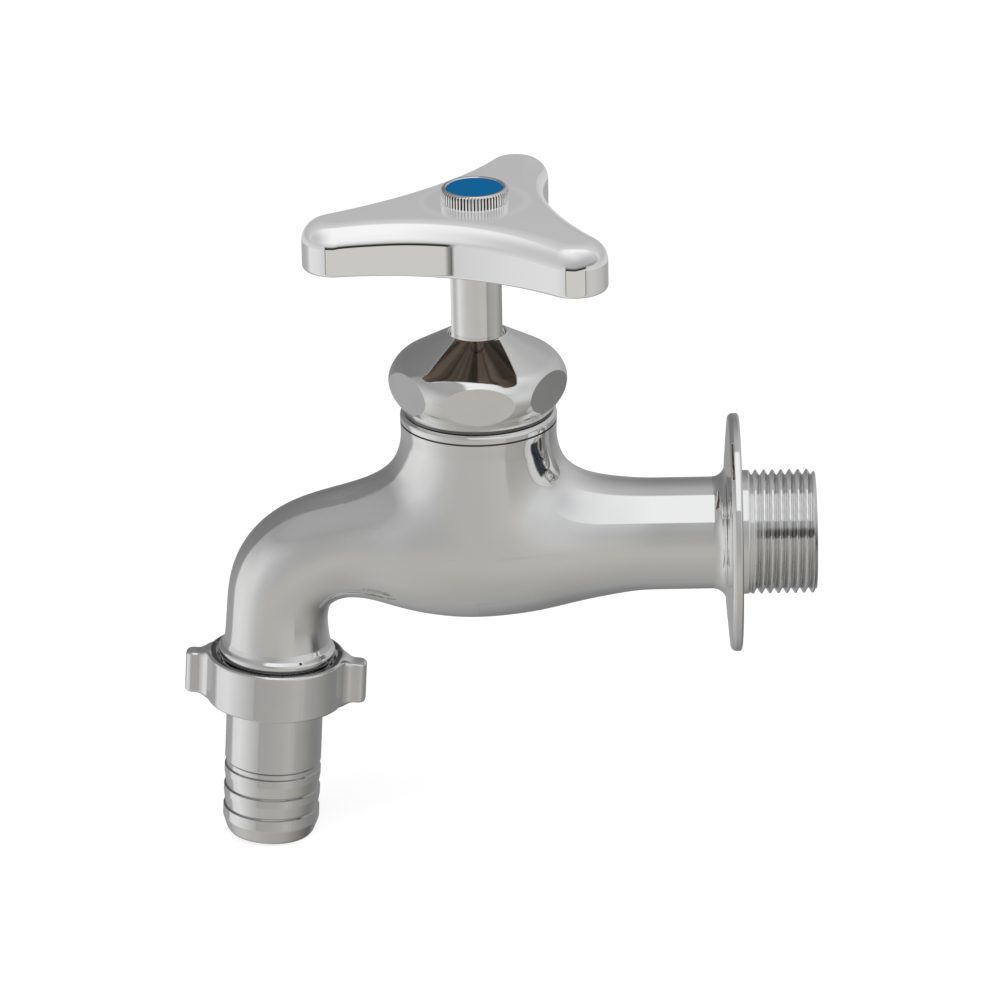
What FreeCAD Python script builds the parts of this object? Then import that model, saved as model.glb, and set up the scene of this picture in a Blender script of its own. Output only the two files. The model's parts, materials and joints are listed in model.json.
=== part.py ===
import FreeCAD, Part
import math
import os

# Horizontal wall tap, 20 mm size, with a three-armed handle, a wing coupling nut
# and a hose nipple.  Millimetres.  Origin on the wall plane at the centre of the
# inlet pipe: +X goes into the wall, +Z is up, the tap stands out towards -X.

V = FreeCAD.Vector
os.makedirs("parts", exist_ok=True)

# ---------------------------------------------------------------- dimensions
# inlet thread, 14 threads per inch, drawn as ring grooves
THREAD_R = 13.2205
THREAD_PITCH = 1.8143
THREAD_DEPTH = 1.10
GROOVE_COUNT = 8
GROOVE_HALF = 0.75          # half width at the crest
GROOVE_ROOT_HALF = 0.09     # half width at the root
FIRST_GROOVE_X = 2.85
THREAD_LEN = 16.1
THREAD_CHAMFER = 0.75

# wall flange and inlet pipe
FLANGE_R = 25.4
PIPE_R = 11.95
INLET_BORE_R = 7.75
INLET_BORE_END = -26.0

# handle axis: vertical line at this x, shared by neck, spindle and handle
AXIS_X = -55.3

# barrel along the inlet pipe, chamber and spout: x, z, radius
BARREL_SECTIONS = [
    (-7.0, 0.0, 11.95), (-11.0, 0.0, 11.95), (-16.0, 0.0, 11.95),
    (-21.5, 0.0, 12.02), (-26.5, -0.05, 12.60), (-31.6, -0.15, 13.38),
    (-36.7, -0.20, 14.42), (-41.9, -0.20, 15.62), (-47.0, -0.10, 16.52),
    (-52.1, 0.0, 17.05), (-57.0, 0.0, 17.20), (-61.0, 0.0, 17.02),
    (-65.0, 0.0, 16.55), (-69.1, 0.0, 15.80), (-73.2, 0.0, 14.75),
    (-77.0, -0.02, 13.60), (-80.4, -0.18, 12.72), (-83.4, -0.48, 12.14),
    (-86.3, -0.98, 11.80), (-89.1, -1.76, 11.68), (-91.8, -2.92, 11.68),
    (-94.2, -4.58, 11.66), (-96.2, -6.72, 11.58), (-97.62, -9.22, 11.40),
    (-98.50, -12.0, 11.10), (-98.98, -15.0, 10.84), (-99.22, -18.0, 10.84),
    (-99.30, -20.4, 11.00),
]

# spout axis: origin at the end bead, bottom leaning away from the wall.
# Distances along it ("drop") are measured downward from the bead.
SPOUT_X, SPOUT_Z, SPOUT_LEAN = -99.417, -25.1, 3.4
BARREL_END_DROP = -2.6
BARREL_END_R = 11.30
SPOUT_BORE_R = 7.5

# waterway through the spout: x, z, radius
SPOUT_WAY_SECTIONS = [
    (-60.0, 10.6, 6.2), (-66.5, 8.0, 6.2), (-73.0, 4.6, 6.3), (-79.0, 1.6, 6.4),
    (-84.5, -0.4, 6.6), (-89.0, -2.4, 6.8), (-92.8, -4.8, 7.0), (-95.8, -8.0, 7.2),
    (-97.6, -11.8, 7.3), (-98.7, -16.0, 7.4), (-99.25, -20.5, SPOUT_BORE_R),
    (-99.5, -25.0, SPOUT_BORE_R),
]

# neck and spindle
NECK_R = 16.3
COLLAR_R = 16.6
SHOULDER_Z = 29.2
SPIGOT_R = 13.44
SPIGOT_TOP = 37.5
NECK_FILLETS = (9.0, 8.0, 7.0, 6.0, 5.0, 4.0, 3.0)   # first that works
SPINDLE_BORE_R = 8.10
STEM_R = 5.42
STEM_TOP = 66.4
SPLINES = 18
SPLINE_R = (4.62, 4.28)     # crest, root
HANDLE_CLEARANCE = 0.06     # handle socket over stem and splines

# valve seat and disc
SEAT_Z = 4.0
SEAT_ORIFICE_R = 6.0
DISC_Z = 7.0
DISC_STUD_R = 2.0
STUD_HOLE_R = 2.02

# gland stack levels and radii
PACKING_SEAT_Z = 36.3
PACKING_TOP = 42.3
GLAND_TOP = 43.2
GLAND_R = 8.05
GLAND_BORE_R = 5.60
GASKET_TOP = 38.9

# cap nut
NUT_FLAT = 17.27            # axis to flat
NUT_HOLE_R = 6.0
# bulged outside, bottom to top: radius, z
NUT_BULGE = [
    (16.85, 31.44), (17.34, 32.05), (17.80, 32.75), (18.17, 33.35),
    (18.45, 33.95), (18.68, 34.6), (18.85, 35.3), (18.94, 36.1),
    (18.90, 36.9), (18.75, 37.6), (18.50, 38.3), (18.12, 39.05),
    (17.64, 39.8), (17.10, 40.45), (16.50, 41.02), (15.80, 41.50),
]

# handle: three arms
WAIST_R = 16.5              # axis to the hollow between arms
TIP_CENTRE_R = 30.2
TIP_R = 6.95
FIRST_ARM_ANGLE = 193.1
HANDLE_TOP, HANDLE_BOTTOM = 76.1, 64.15
TOP_FILLETS = (4.6, 4.2, 3.8, 3.2)                   # first that works
BOTTOM_FILLET = 1.0
DROOP, DROOP_R = 1.5, 37.0  # fall of the top dome at this radius
HUB_TOP = HANDLE_TOP - 0.06
HUB_RECESS_Z = 75.0

# handle screw
HEAD_R, HEAD_TOP = 7.1, 79.15
SHANK_R = 1.98
SHANK_BOTTOM = 61.6
KNURLS = 60
KNURL_DEPTHS = (0.0, 0.09, 0.16, 0.09)
INDEX_R = 5.88
INDEX_Z = HEAD_TOP - 0.75

# coupling; lengths are drops from the bead
MALE_R = 11.50
MALE_LEN = 7.0
BEAD_R = 12.5
WING_NUT_R = 14.75
WING_NUT_TOP, WING_NUT_BOTTOM = 0.8, 11.3
WING_NUT_BORE_R = 11.56
WING_NUT_LIP_R = 10.38
ENTRY_R, ENTRY_DROP = 13.0, 2.4
LIP_DROP = 9.7
EAR_HALF, EAR_H, EAR_T = 19.5, 9.2, 4.4
EAR_TOP = 1.5
EAR_CORNER = 1.6
EAR_EDGE = 0.6
EAR_ROOT_FILLETS = (2.2, 1.6, 1.0, 0.6)              # first that works
EAR_TURN = -4.1

# hose nipple
TUBE_R = 10.34
TUBE_NECK_R = TUBE_R - 0.04
BARB_R = TUBE_R + 0.03
TUBE_BORE_R = 7.8
NIPPLE_TOP = 8.2
NIPPLE_COLLAR_R = 11.2
NIPPLE_COLLAR_END = 9.38
NIPPLE_END = 42.05


# ------------------------------------------------------------------- helpers
def polar(radius, angle):
    return V(radius * math.cos(angle), radius * math.sin(angle), 0)


def unit(vector):
    return vector * (1.0 / vector.Length)


def rounded_wire(corners):
    """Closed wire in the XZ plane from (a, b[, fillet radius]) corners."""
    points = [V(corner[0], 0, corner[1]) for corner in corners]
    bends = []
    for i, corner in enumerate(corners):
        point = points[i]
        radius = corner[2] if len(corner) > 2 else 0.0
        if radius <= 0:
            bends.append((point, None, point))
            continue
        back = unit(points[i - 1] - point)
        ahead = unit(points[(i + 1) % len(points)] - point)
        half = math.acos(max(-1.0, min(1.0, back.dot(ahead)))) / 2.0
        setback = radius / math.tan(half)
        middle = point + unit(back + ahead) * (radius / math.sin(half) - radius)
        bends.append((point + back * setback, middle, point + ahead * setback))
    edges = []
    for i, (start, middle, end) in enumerate(bends):
        if middle is not None:
            edges.append(Part.Arc(start, middle, end).toShape())
        following = bends[(i + 1) % len(bends)][0]
        if end.distanceToPoint(following) > 1e-6:
            edges.append(Part.makeLine(end, following))
    return Part.Wire(edges)


def revolve(corners, axis=V(0, 0, 1)):
    return Part.Face(rounded_wire(corners)).revolve(V(0, 0, 0), axis, 360)


def lathe_axis(corners):
    """Revolve (radius, z[, fillet]) corners about the handle axis."""
    solid = revolve(corners)
    solid.translate(V(AXIS_X, 0, 0))
    return solid


def lathe_down(corners):
    """Revolve (radius, drop[, fillet]) corners about Z, drop downward from 0."""
    return revolve([(corner[0], -corner[1]) + corner[2:] for corner in corners])


def to_spout(solid):
    """Move a solid built about Z onto the leaning spout axis."""
    solid = solid.copy()
    solid.rotate(V(0, 0, 0), V(0, 1, 0), SPOUT_LEAN)
    solid.translate(V(SPOUT_X, 0, SPOUT_Z))
    return solid


def lathe_spout(corners):
    return to_spout(lathe_down(corners))


def axis_cylinder(radius, bottom, height):
    return Part.makeCylinder(radius, height, V(AXIS_X, 0, bottom))


def axis_prism(radii, repeats, bottom, top):
    """Prism on the handle axis, its corner radii cycling through `radii`."""
    count = len(radii) * repeats
    centre = V(AXIS_X, 0, bottom)
    points = [centre + polar(radii[i % len(radii)], 2 * math.pi * i / count)
              for i in range(count)]
    points.append(points[0])
    return Part.Face(Part.makePolygon(points)).extrude(V(0, 0, top - bottom))


def circle_loft(sections, end_direction=None):
    """Skin circles (x, z, radius) standing across their own centre line."""
    wires = []
    last = len(sections) - 1
    for i, (x, z, radius) in enumerate(sections):
        before = sections[max(i - 1, 0)]
        after = sections[min(i + 1, last)]
        direction = V(after[0] - before[0], 0, after[1] - before[1])
        if end_direction is not None and i == last:
            direction = end_direction
        circle = Part.Circle(V(x, 0, z), direction, radius)
        # every seam on the +Y side keeps the skin from twisting
        circle.XAxis = V(0, 1, 0)
        wires.append(Part.Wire([circle.toShape()]))
    return Part.makeLoft(wires, True, False)


def try_fillets(shape, radii, edges, must_grow=False):
    """Fillet with the first radius that works, else return the shape as it is."""
    for radius in radii:
        # the kernel raises when a radius does not fit; the next one is tried
        try:
            result = shape.makeFillet(radius, edges)
            if result.isValid() and (not must_grow or result.Volume > shape.Volume):
                return result
        except Exception:
            continue
    return shape


def save(name, shape):
    """Export the largest solid of the cleaned shape."""
    solid = max(shape.removeSplitter().Solids, key=lambda item: item.Volume)
    solid.exportStep("parts/%s.step" % name)


# ---------------------------------------------------------------------- body
def make_casting():
    """Barrel and spout with the neck filleted onto them."""
    lean = math.radians(SPOUT_LEAN)
    down = V(-math.sin(lean), 0, -math.cos(lean))
    end = V(SPOUT_X, 0, SPOUT_Z) + down * BARREL_END_DROP
    barrel = circle_loft(BARREL_SECTIONS + [(end.x, end.z, BARREL_END_R)], down)
    # slight flare, a fine groove, the collar and the spigot
    neck = lathe_axis([
        (0, 0), (NECK_R, 0), (NECK_R, 23.5), (16.45, 25.3), (COLLAR_R, 26.8, 0.1),
        (COLLAR_R, 27.12), (16.3, 27.12), (16.3, 27.38), (16.64, 27.38, 0.08),
        (16.64, 28.75, 0.75), (15.9, SHOULDER_Z, 0.1), (SPIGOT_R, SHOULDER_Z),
        (SPIGOT_R, SPIGOT_TOP - 0.5), (SPIGOT_R - 0.5, SPIGOT_TOP), (0, SPIGOT_TOP)])
    casting = barrel.fuse(neck).removeSplitter()
    # the line where the neck grows out of the barrel
    seam = [e for e in casting.Edges
            if e.BoundBox.ZMin > 2 and e.BoundBox.ZMax < 18.5
            and e.BoundBox.XLength > 5]
    return try_fillets(casting, NECK_FILLETS, seam, must_grow=True)


def make_inlet_thread():
    """Grooved stub; the last groove runs out into the end chamfer."""
    root_r = THREAD_R - THREAD_DEPTH
    chamfer_x = THREAD_LEN - THREAD_CHAMFER
    profile = [(-2.0, 0.0), (-2.0, THREAD_R)]
    for i in range(GROOVE_COUNT):
        centre = FIRST_GROOVE_X + i * THREAD_PITCH
        profile += [(centre - GROOVE_HALF, THREAD_R),
                    (centre - GROOVE_ROOT_HALF, root_r),
                    (centre + GROOVE_ROOT_HALF, root_r),
                    (centre + GROOVE_HALF, THREAD_R)]
    # replace the last crest by the point where its flank meets the 45 degree chamfer
    steepness = THREAD_DEPTH / (GROOVE_HALF - GROOVE_ROOT_HALF)
    meet_x = ((chamfer_x + THREAD_DEPTH + steepness * (centre + GROOVE_ROOT_HALF))
              / (1.0 + steepness))
    profile[-1] = (meet_x, THREAD_R - (meet_x - chamfer_x))
    profile += [(THREAD_LEN, THREAD_R - THREAD_CHAMFER), (THREAD_LEN, 0.0)]
    return revolve(profile, V(1, 0, 0))


def make_wall_end():
    """Wall flange with its trumpet root, and the inlet thread; x, radius."""
    flange = revolve([
        (-9.5, 0), (-9.5, 9.5), (-7.0, 9.5), (-7.0, PIPE_R),
        (-3.2, PIPE_R + 0.02, 2.9), (-3.05, 17.0, 8.0), (-2.35, 24.9, 0.9),
        (-1.5, FLANGE_R, 0.6), (-0.35, FLANGE_R, 0.3), (0.0, 24.8), (0.0, 0)],
        V(1, 0, 0))
    return flange.fuse(make_inlet_thread())


def make_spout_end():
    """Bead and male spigot, a plain cylinder at thread diameter."""
    return lathe_spout([
        (0, -5.0), (9.0, -5.0), (9.0, BARREL_END_DROP), (BARREL_END_R, BARREL_END_DROP),
        (11.9, -1.25, 0.5), (BEAD_R, -0.95, 0.45), (BEAD_R, 1.0, 0.6), (MALE_R, 1.25),
        (MALE_R, MALE_LEN - 0.5), (MALE_R - 0.5, MALE_LEN), (0, MALE_LEN)])


def make_waterways():
    inlet_start = THREAD_LEN + 1
    inlet = Part.makeCylinder(INLET_BORE_R, inlet_start - INLET_BORE_END,
                              V(inlet_start, 0, 0), V(-1, 0, 0))
    bore_end = V(INLET_BORE_END, 0, 0)
    inlet = inlet.fuse(Part.makeSphere(INLET_BORE_R, bore_end))
    # sloping passage down to the pocket under the seat
    run = V(-24.0, 0, -5.6)
    passage = Part.makeCylinder(6.1, run.Length, bore_end, run)
    pocket = lathe_axis([(0, -11.2), (8.4, -11.2, 2.5), (8.4, 0.6, 0.6), (0, 0.6)])
    orifice = lathe_axis([(0, 0), (SEAT_ORIFICE_R, 0),
                          (SEAT_ORIFICE_R, SEAT_Z + 0.5), (0, SEAT_Z + 0.5)])
    # chamber round the raised seat, spindle bore and packing recess
    chamber = lathe_axis([
        (SEAT_ORIFICE_R - 0.5, SEAT_Z), (7.3, SEAT_Z), (8.0, 3.0), (11.0, 3.0, 0.8),
        (11.4, 6.0, 2.0), (11.4, 17.5, 1.5), (SPINDLE_BORE_R, 20.5),
        (SPINDLE_BORE_R, PACKING_SEAT_Z), (10.2, PACKING_SEAT_Z),
        (10.2, SPIGOT_TOP + 1), (0, SPIGOT_TOP + 1), (0, SEAT_Z)])
    spout_way = circle_loft(SPOUT_WAY_SECTIONS)
    end_bore = lathe_spout([(0, -1.5), (SPOUT_BORE_R, -1.5),
                            (SPOUT_BORE_R, MALE_LEN + 1), (0, MALE_LEN + 1)])
    below_seat = inlet.fuse([passage, pocket, orifice]).removeSplitter()
    return [below_seat, chamber, spout_way, end_bore]


outside = make_casting().fuse(make_wall_end()).fuse(make_spout_end())
save("body", outside.cut(make_waterways()))


# ----------------------------------------------------------------- valve set
def make_spindle():
    """Hollow-ended screw, stem and splined top, drilled for the handle screw."""
    spindle = lathe_axis([
        (3.0, 16.4), (7.4, 16.4), (8.02, 17.0), (8.02, 29.4), (7.4, 30.0),
        (STEM_R, 30.0), (STEM_R, STEM_TOP, 0.3), (4.2, STEM_TOP), (0, STEM_TOP),
        (0, 22.6), (3.0, 22.6)])
    spindle = spindle.fuse(axis_prism(SPLINE_R, SPLINES, 66.0, 73.4))
    return spindle.cut(axis_cylinder(2.02, bottom=61.0, height=14))


save("disc_stem", lathe_axis([
    (0, 2.2), (DISC_STUD_R, 2.2), (DISC_STUD_R, DISC_Z), (7.6, DISC_Z),
    (7.6, 8.5, 0.4), (2.92, 8.9, 0.3), (2.92, 21.6, 0.4), (0, 21.6)]))
save("disc_washer", lathe_axis([
    (STUD_HOLE_R, SEAT_Z), (7.2, SEAT_Z, 0.3), (7.4, 4.4), (7.4, DISC_Z),
    (STUD_HOLE_R, DISC_Z)]))
disc_nut = axis_prism((3.4,), 6, 2.5, SEAT_Z)
save("disc_nut", disc_nut.cut(axis_cylinder(STUD_HOLE_R, bottom=2, height=4)))
save("spindle", make_spindle())

# --------------------------------------------------------------- gland stack
save("packing_seat", lathe_axis([
    (GLAND_BORE_R, PACKING_SEAT_Z), (10.15, PACKING_SEAT_Z),
    (10.15, SPIGOT_TOP), (GLAND_BORE_R, SPIGOT_TOP)]))
save("stem_packing", lathe_axis([
    (5.48, SPIGOT_TOP), (10.1, SPIGOT_TOP, 0.2), (10.1, 38.4, 0.3),
    (GLAND_R, PACKING_TOP), (5.48, PACKING_TOP)]))
save("gland_washer", lathe_axis([
    (GLAND_BORE_R, PACKING_TOP), (GLAND_R, PACKING_TOP),
    (GLAND_R, GLAND_TOP), (GLAND_BORE_R, GLAND_TOP)]))
save("cap_gasket", lathe_axis([
    (10.8, SPIGOT_TOP), (12.9, SPIGOT_TOP), (12.9, GASKET_TOP), (10.8, GASKET_TOP)]))


# ------------------------------------------------------------------- cap nut
def make_cap_nut():
    """Bulged nut with six flats, hollow over the spigot and gland."""
    skirt = [(15.6, SHOULDER_Z), (15.95, 29.5), (15.95, 30.05), NUT_BULGE[0]]
    # over the top, down the hole and back along the inside to the skirt
    inside = [
        NUT_BULGE[-1], (6.45, 46.75), (6.2, 46.85), (NUT_HOLE_R, 46.7),
        (NUT_HOLE_R, 45.0), (5.56, 44.7), (5.56, GLAND_TOP), (8.1, GLAND_TOP),
        (8.1, 42.35), (10.35, GASKET_TOP), (13.5, GASKET_TOP), (13.5, 30.0),
        (13.9, SHOULDER_Z), skirt[0]]

    def lines(points):
        return [Part.makeLine(V(a[0], 0, a[1]), V(b[0], 0, b[1]))
                for a, b in zip(points[:-1], points[1:])]

    bulge = Part.BSplineCurve()
    bulge.interpolate([V(radius, 0, z) for radius, z in NUT_BULGE])
    outline = Part.Wire(lines(skirt) + [bulge.toShape()] + lines(inside))
    nut = Part.Face(outline).revolve(V(0, 0, 0), V(0, 0, 1), 360)
    nut.translate(V(AXIS_X, 0, 0))
    for i in range(6):
        block = Part.makeBox(6, 30, 30, V(NUT_FLAT, -15, 25))
        block.rotate(V(0, 0, 0), V(0, 0, 1), 30 + 60 * i)
        block.translate(V(AXIS_X, 0, 0))
        nut = nut.cut(block)
    return nut


save("cap_nut", make_cap_nut())


# -------------------------------------------------------------------- handle
def make_handle_plan():
    """Three round tips joined by tangent hollow arcs, centred on the origin."""
    excess = TIP_R - WAIST_R
    # axis to the centre of each hollow arc, from tangency with both tips
    hollow_centre_r = ((TIP_CENTRE_R ** 2 - excess ** 2)
                       / (2 * excess + TIP_CENTRE_R))

    def tangent_point(tip_centre, hollow_centre):
        return tip_centre + unit(hollow_centre - tip_centre) * TIP_R

    edges = []
    for i in range(3):
        arm = math.radians(FIRST_ARM_ANGLE + 120 * i)
        gap = arm + math.pi / 3
        tip = polar(TIP_CENTRE_R, arm)
        next_tip = polar(TIP_CENTRE_R, arm + 2 * math.pi / 3)
        hollow_before = polar(hollow_centre_r, arm - math.pi / 3)
        hollow_after = polar(hollow_centre_r, gap)
        tip_start = tangent_point(tip, hollow_before)
        tip_end = tangent_point(tip, hollow_after)
        next_start = tangent_point(next_tip, hollow_after)
        edges.append(Part.Arc(tip_start, polar(TIP_CENTRE_R + TIP_R, arm),
                              tip_end).toShape())
        edges.append(Part.Arc(tip_end, polar(WAIST_R, gap), next_start).toShape())
    return Part.Face(Part.Wire(edges))


def make_handle():
    plan = make_handle_plan()
    plan.translate(V(AXIS_X, 0, HANDLE_BOTTOM))
    handle = plan.extrude(V(0, 0, 20))
    # shallow dome over the arms
    dome_r = DROOP_R ** 2 / (2 * DROOP)
    dome = Part.makeSphere(dome_r, V(AXIS_X, 0, HANDLE_TOP - dome_r))
    dome = dome.common(Part.makeBox(100, 100, 30, V(AXIS_X - 50, -50, 60)))
    handle = handle.common(dome).removeSplitter()
    top_edges = [e for e in handle.Edges if e.BoundBox.ZMin > HANDLE_BOTTOM + 8]
    handle = try_fillets(handle, TOP_FILLETS, top_edges)
    bottom_edges = [e for e in handle.Edges if e.BoundBox.ZMax < HANDLE_BOTTOM + 0.01]
    handle = try_fillets(handle, (BOTTOM_FILLET,), bottom_edges)
    # stem socket, splined socket, screw hole, washer recess, flat on top
    handle = handle.cut(axis_cylinder(STEM_R + HANDLE_CLEARANCE, 60, STEM_TOP - 60))
    socket_radii = [radius + HANDLE_CLEARANCE for radius in SPLINE_R]
    handle = handle.cut(axis_prism(socket_radii, SPLINES, 66.3, 73.5))
    handle = handle.cut(axis_cylinder(2.3, bottom=70, height=10))
    handle = handle.cut(axis_cylinder(4.2, bottom=HUB_RECESS_Z, height=5))
    return handle.cut(Part.makeBox(30, 30, 4, V(AXIS_X - 15, -15, HUB_TOP)))


def make_handle_screw():
    """Knurled head with a recess for the index disc, on a plain shank."""
    knurl_radii = [HEAD_R - depth for depth in KNURL_DEPTHS]
    screw = axis_prism(knurl_radii, KNURLS, HUB_TOP, HEAD_TOP)
    # bevels the head at its bottom and top
    screw = screw.common(lathe_axis([
        (0, HANDLE_TOP - 1), (HEAD_R - 0.3, HANDLE_TOP - 1), (HEAD_R - 0.3, HUB_TOP),
        (HEAD_R + 0.1, HANDLE_TOP + 0.3), (HEAD_R + 0.1, HEAD_TOP - 0.45),
        (HEAD_R - 0.55, HEAD_TOP), (0, HEAD_TOP)]))
    screw = screw.cut(axis_cylinder(INDEX_R, INDEX_Z, 2))
    return screw.fuse(axis_cylinder(SHANK_R, SHANK_BOTTOM, HANDLE_TOP - SHANK_BOTTOM))


save("handle", make_handle())
save("screw_washer", lathe_axis([
    (2.15, HUB_RECESS_Z), (4.0, HUB_RECESS_Z), (4.0, HUB_TOP), (2.15, HUB_TOP)]))
save("handle_screw", make_handle_screw())
save("index_disc", lathe_axis([
    (0, INDEX_Z), (INDEX_R, INDEX_Z), (INDEX_R, HEAD_TOP - 0.12, 0.08),
    (0, HEAD_TOP - 0.12)]))


# ------------------------------------------------------------------ coupling
def make_ears():
    """One bar through the nut along X, rounded at its ends and edges."""
    ears = Part.makeBox(2 * EAR_HALF, EAR_T, EAR_H,
                        V(-EAR_HALF, -EAR_T / 2, -EAR_TOP - EAR_H))
    end_corners = [e for e in ears.Edges
                   if abs(e.BoundBox.XLength) < 1e-6
                   and abs(abs(e.BoundBox.XMin) - EAR_HALF) < 1e-6
                   and e.BoundBox.YLength > 1]
    ears = ears.makeFillet(EAR_CORNER, end_corners)
    side_edges = [e for e in ears.Edges
                  if e.BoundBox.YLength < 1e-6
                  and (e.BoundBox.XLength > 20
                       or abs(e.BoundBox.XMin) > EAR_HALF - 1.7)]
    return try_fillets(ears, (EAR_EDGE,), side_edges)


def make_coupling_nut():
    blank = lathe_down([
        (0, WING_NUT_BOTTOM), (0, WING_NUT_TOP), (WING_NUT_R - 0.1, WING_NUT_TOP, 0.5),
        (WING_NUT_R, 2.6), (WING_NUT_R, WING_NUT_BOTTOM, 0.7)])
    nut = blank.fuse(make_ears()).removeSplitter()
    # upright edges where the ears meet the nut
    roots = [e for e in nut.Edges
             if 13.0 < math.hypot(e.CenterOfMass.x, e.CenterOfMass.y) < WING_NUT_R + 0.3
             and e.BoundBox.ZLength > 5
             and abs(e.CenterOfMass.y) < EAR_T / 2 + 0.2
             and abs(e.CenterOfMass.x) > 10]
    nut = try_fillets(nut, EAR_ROOT_FILLETS, roots, must_grow=True)
    nut = nut.cut(lathe_down([
        (0, -5), (ENTRY_R, -5), (ENTRY_R, ENTRY_DROP), (WING_NUT_BORE_R, ENTRY_DROP),
        (WING_NUT_BORE_R, LIP_DROP), (WING_NUT_LIP_R, LIP_DROP),
        (WING_NUT_LIP_R, 15), (0, 15)]))
    nut.rotate(V(0, 0, 0), V(0, 0, 1), EAR_TURN)
    return to_spout(nut)


save("nipple_packing", lathe_spout([
    (7.7, MALE_LEN), (11.15, MALE_LEN), (11.15, NIPPLE_TOP), (7.7, NIPPLE_TOP)]))
save("slip_ring", lathe_spout([(10.5, 9.40), (11.3, 9.40), (11.3, 9.67), (10.5, 9.67)]))
save("coupling_nut", make_coupling_nut())

# collar, plain tube, groove, three barbs and the rounded end
save("hose_nipple", lathe_spout([
    (TUBE_BORE_R, NIPPLE_TOP), (NIPPLE_COLLAR_R, NIPPLE_TOP),
    (NIPPLE_COLLAR_R, NIPPLE_COLLAR_END), (TUBE_NECK_R, NIPPLE_COLLAR_END),
    (TUBE_NECK_R, 10.4), (TUBE_R, 11.5), (TUBE_R, 25.0), (9.98, 25.5), (9.98, 26.6),
    (BARB_R, 26.85, 0.1), (BARB_R, 28.4, 1.0), (9.94, 31.2),
    (BARB_R, 31.5, 0.1), (BARB_R, 33.1, 1.0), (9.94, 35.9),
    (BARB_R, 36.2, 0.1), (BARB_R, 38.6, 1.0),
    (9.4, 41.4, 1.0), (8.9, NIPPLE_END, 0.4), (TUBE_BORE_R, NIPPLE_END)]))
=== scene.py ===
# Wall tap with a three-lobed handle, a winged coupling nut and a hose nipple.
# Sizes are in millimetres. Z is up and the front faces -Y. The inlet pipe lies along X: the wall
# flange ends at x = 0, the inlet thread runs on to +X, and the body runs to -X. The handle axis is
# upright at HANDLE_X, and beyond it the spout bends down, leaning slightly towards -X.
import bpy, bmesh, json, math
import numpy as np
from mathutils import Vector, Matrix


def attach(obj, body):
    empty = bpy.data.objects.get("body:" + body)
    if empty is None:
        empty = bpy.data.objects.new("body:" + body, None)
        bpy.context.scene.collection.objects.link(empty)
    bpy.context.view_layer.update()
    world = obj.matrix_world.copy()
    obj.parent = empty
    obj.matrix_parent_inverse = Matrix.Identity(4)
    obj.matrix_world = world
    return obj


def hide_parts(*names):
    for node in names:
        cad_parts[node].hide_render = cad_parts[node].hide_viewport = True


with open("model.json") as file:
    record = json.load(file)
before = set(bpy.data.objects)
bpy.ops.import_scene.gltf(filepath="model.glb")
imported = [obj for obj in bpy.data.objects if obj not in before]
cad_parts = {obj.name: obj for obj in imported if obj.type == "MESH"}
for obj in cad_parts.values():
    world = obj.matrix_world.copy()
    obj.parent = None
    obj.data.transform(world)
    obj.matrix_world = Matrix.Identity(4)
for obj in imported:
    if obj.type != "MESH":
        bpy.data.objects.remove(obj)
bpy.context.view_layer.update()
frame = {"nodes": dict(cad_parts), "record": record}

MM = 0.001
TURN = 2 * math.pi

# ------------------------------------------------------------ dimensions
HANDLE_X = -55.3

# inlet
THREAD_R = 13.2205
PITCH = 1.8143
THREAD_DEPTH = 1.10
THREAD_LENGTH = 16.1
RELIEF = 1.9
BORE_R = 7.75
FLANGE_R = 25.4
PIPE_R = 11.95

# neck, stem and cap nut
NECK_R = 16.3
COLLAR_R = 16.6
SHOULDER_Z = 29.2
STEM_R = 5.42
NUT_FLAT = 17.27
NUT_HOLE_R = 6.0
NUT_FOOT = np.array([15.95, 30.05])     # radius, z
NUT_TOP = np.array([6.5, 46.72])        # radius, z

# handle: three tip arcs joined by hollow arcs
WAIST_R = 16.5
TIP_CENTER_R = 30.2
TIP_R = 6.942
FIRST_TIP = 193.1                       # degrees from +X
HANDLE_TOP = 76.1
HANDLE_BOTTOM = 64.15
TOP_ROUND = 4.6
BOTTOM_ROUND = 1.0
DOME_DROP = 1.5                         # fall of the domed top at DOME_REACH
DOME_REACH = 37.0

# handle screw and its disc
HEAD_R = 7.1
HEAD_TOP = 79.15
DISC_R = 5.88
KNURLS = 60
KNURL_DEPTH = 0.30

# spout end: origin on its axis, the way down it and the way across it
LEAN = math.radians(3.4)
SPOUT_END = np.array([-99.417, 0.0, -25.1])
DOWN = np.array([-math.sin(LEAN), 0.0, -math.cos(LEAN)])
ACROSS = np.array([math.cos(LEAN), 0.0, -math.sin(LEAN)])
DOWN_AXIS = tuple(float(part) for part in DOWN)
SPIGOT_R = 11.5
BEAD_R = 12.5
BARREL_END = SPOUT_END - 2.6 * DOWN

# coupling nut; depths are down the spout axis
COUPLING_R = 14.75
COUPLING_TOP = 0.8
COUPLING_BOTTOM = 11.3
COUPLING_BORE_R = 11.56
EAR_REACH = 19.44
EAR_HEIGHT = 9.2
EAR_TOP = 1.5
EAR_THICKNESS = 4.4
EAR_TURN = math.radians(-4.1)

# hose nipple
TUBE_R = 10.34
TUBE_BORE_R = 7.8
BARB_R = TUBE_R + 0.03
NIPPLE_END = 42.045

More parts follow.
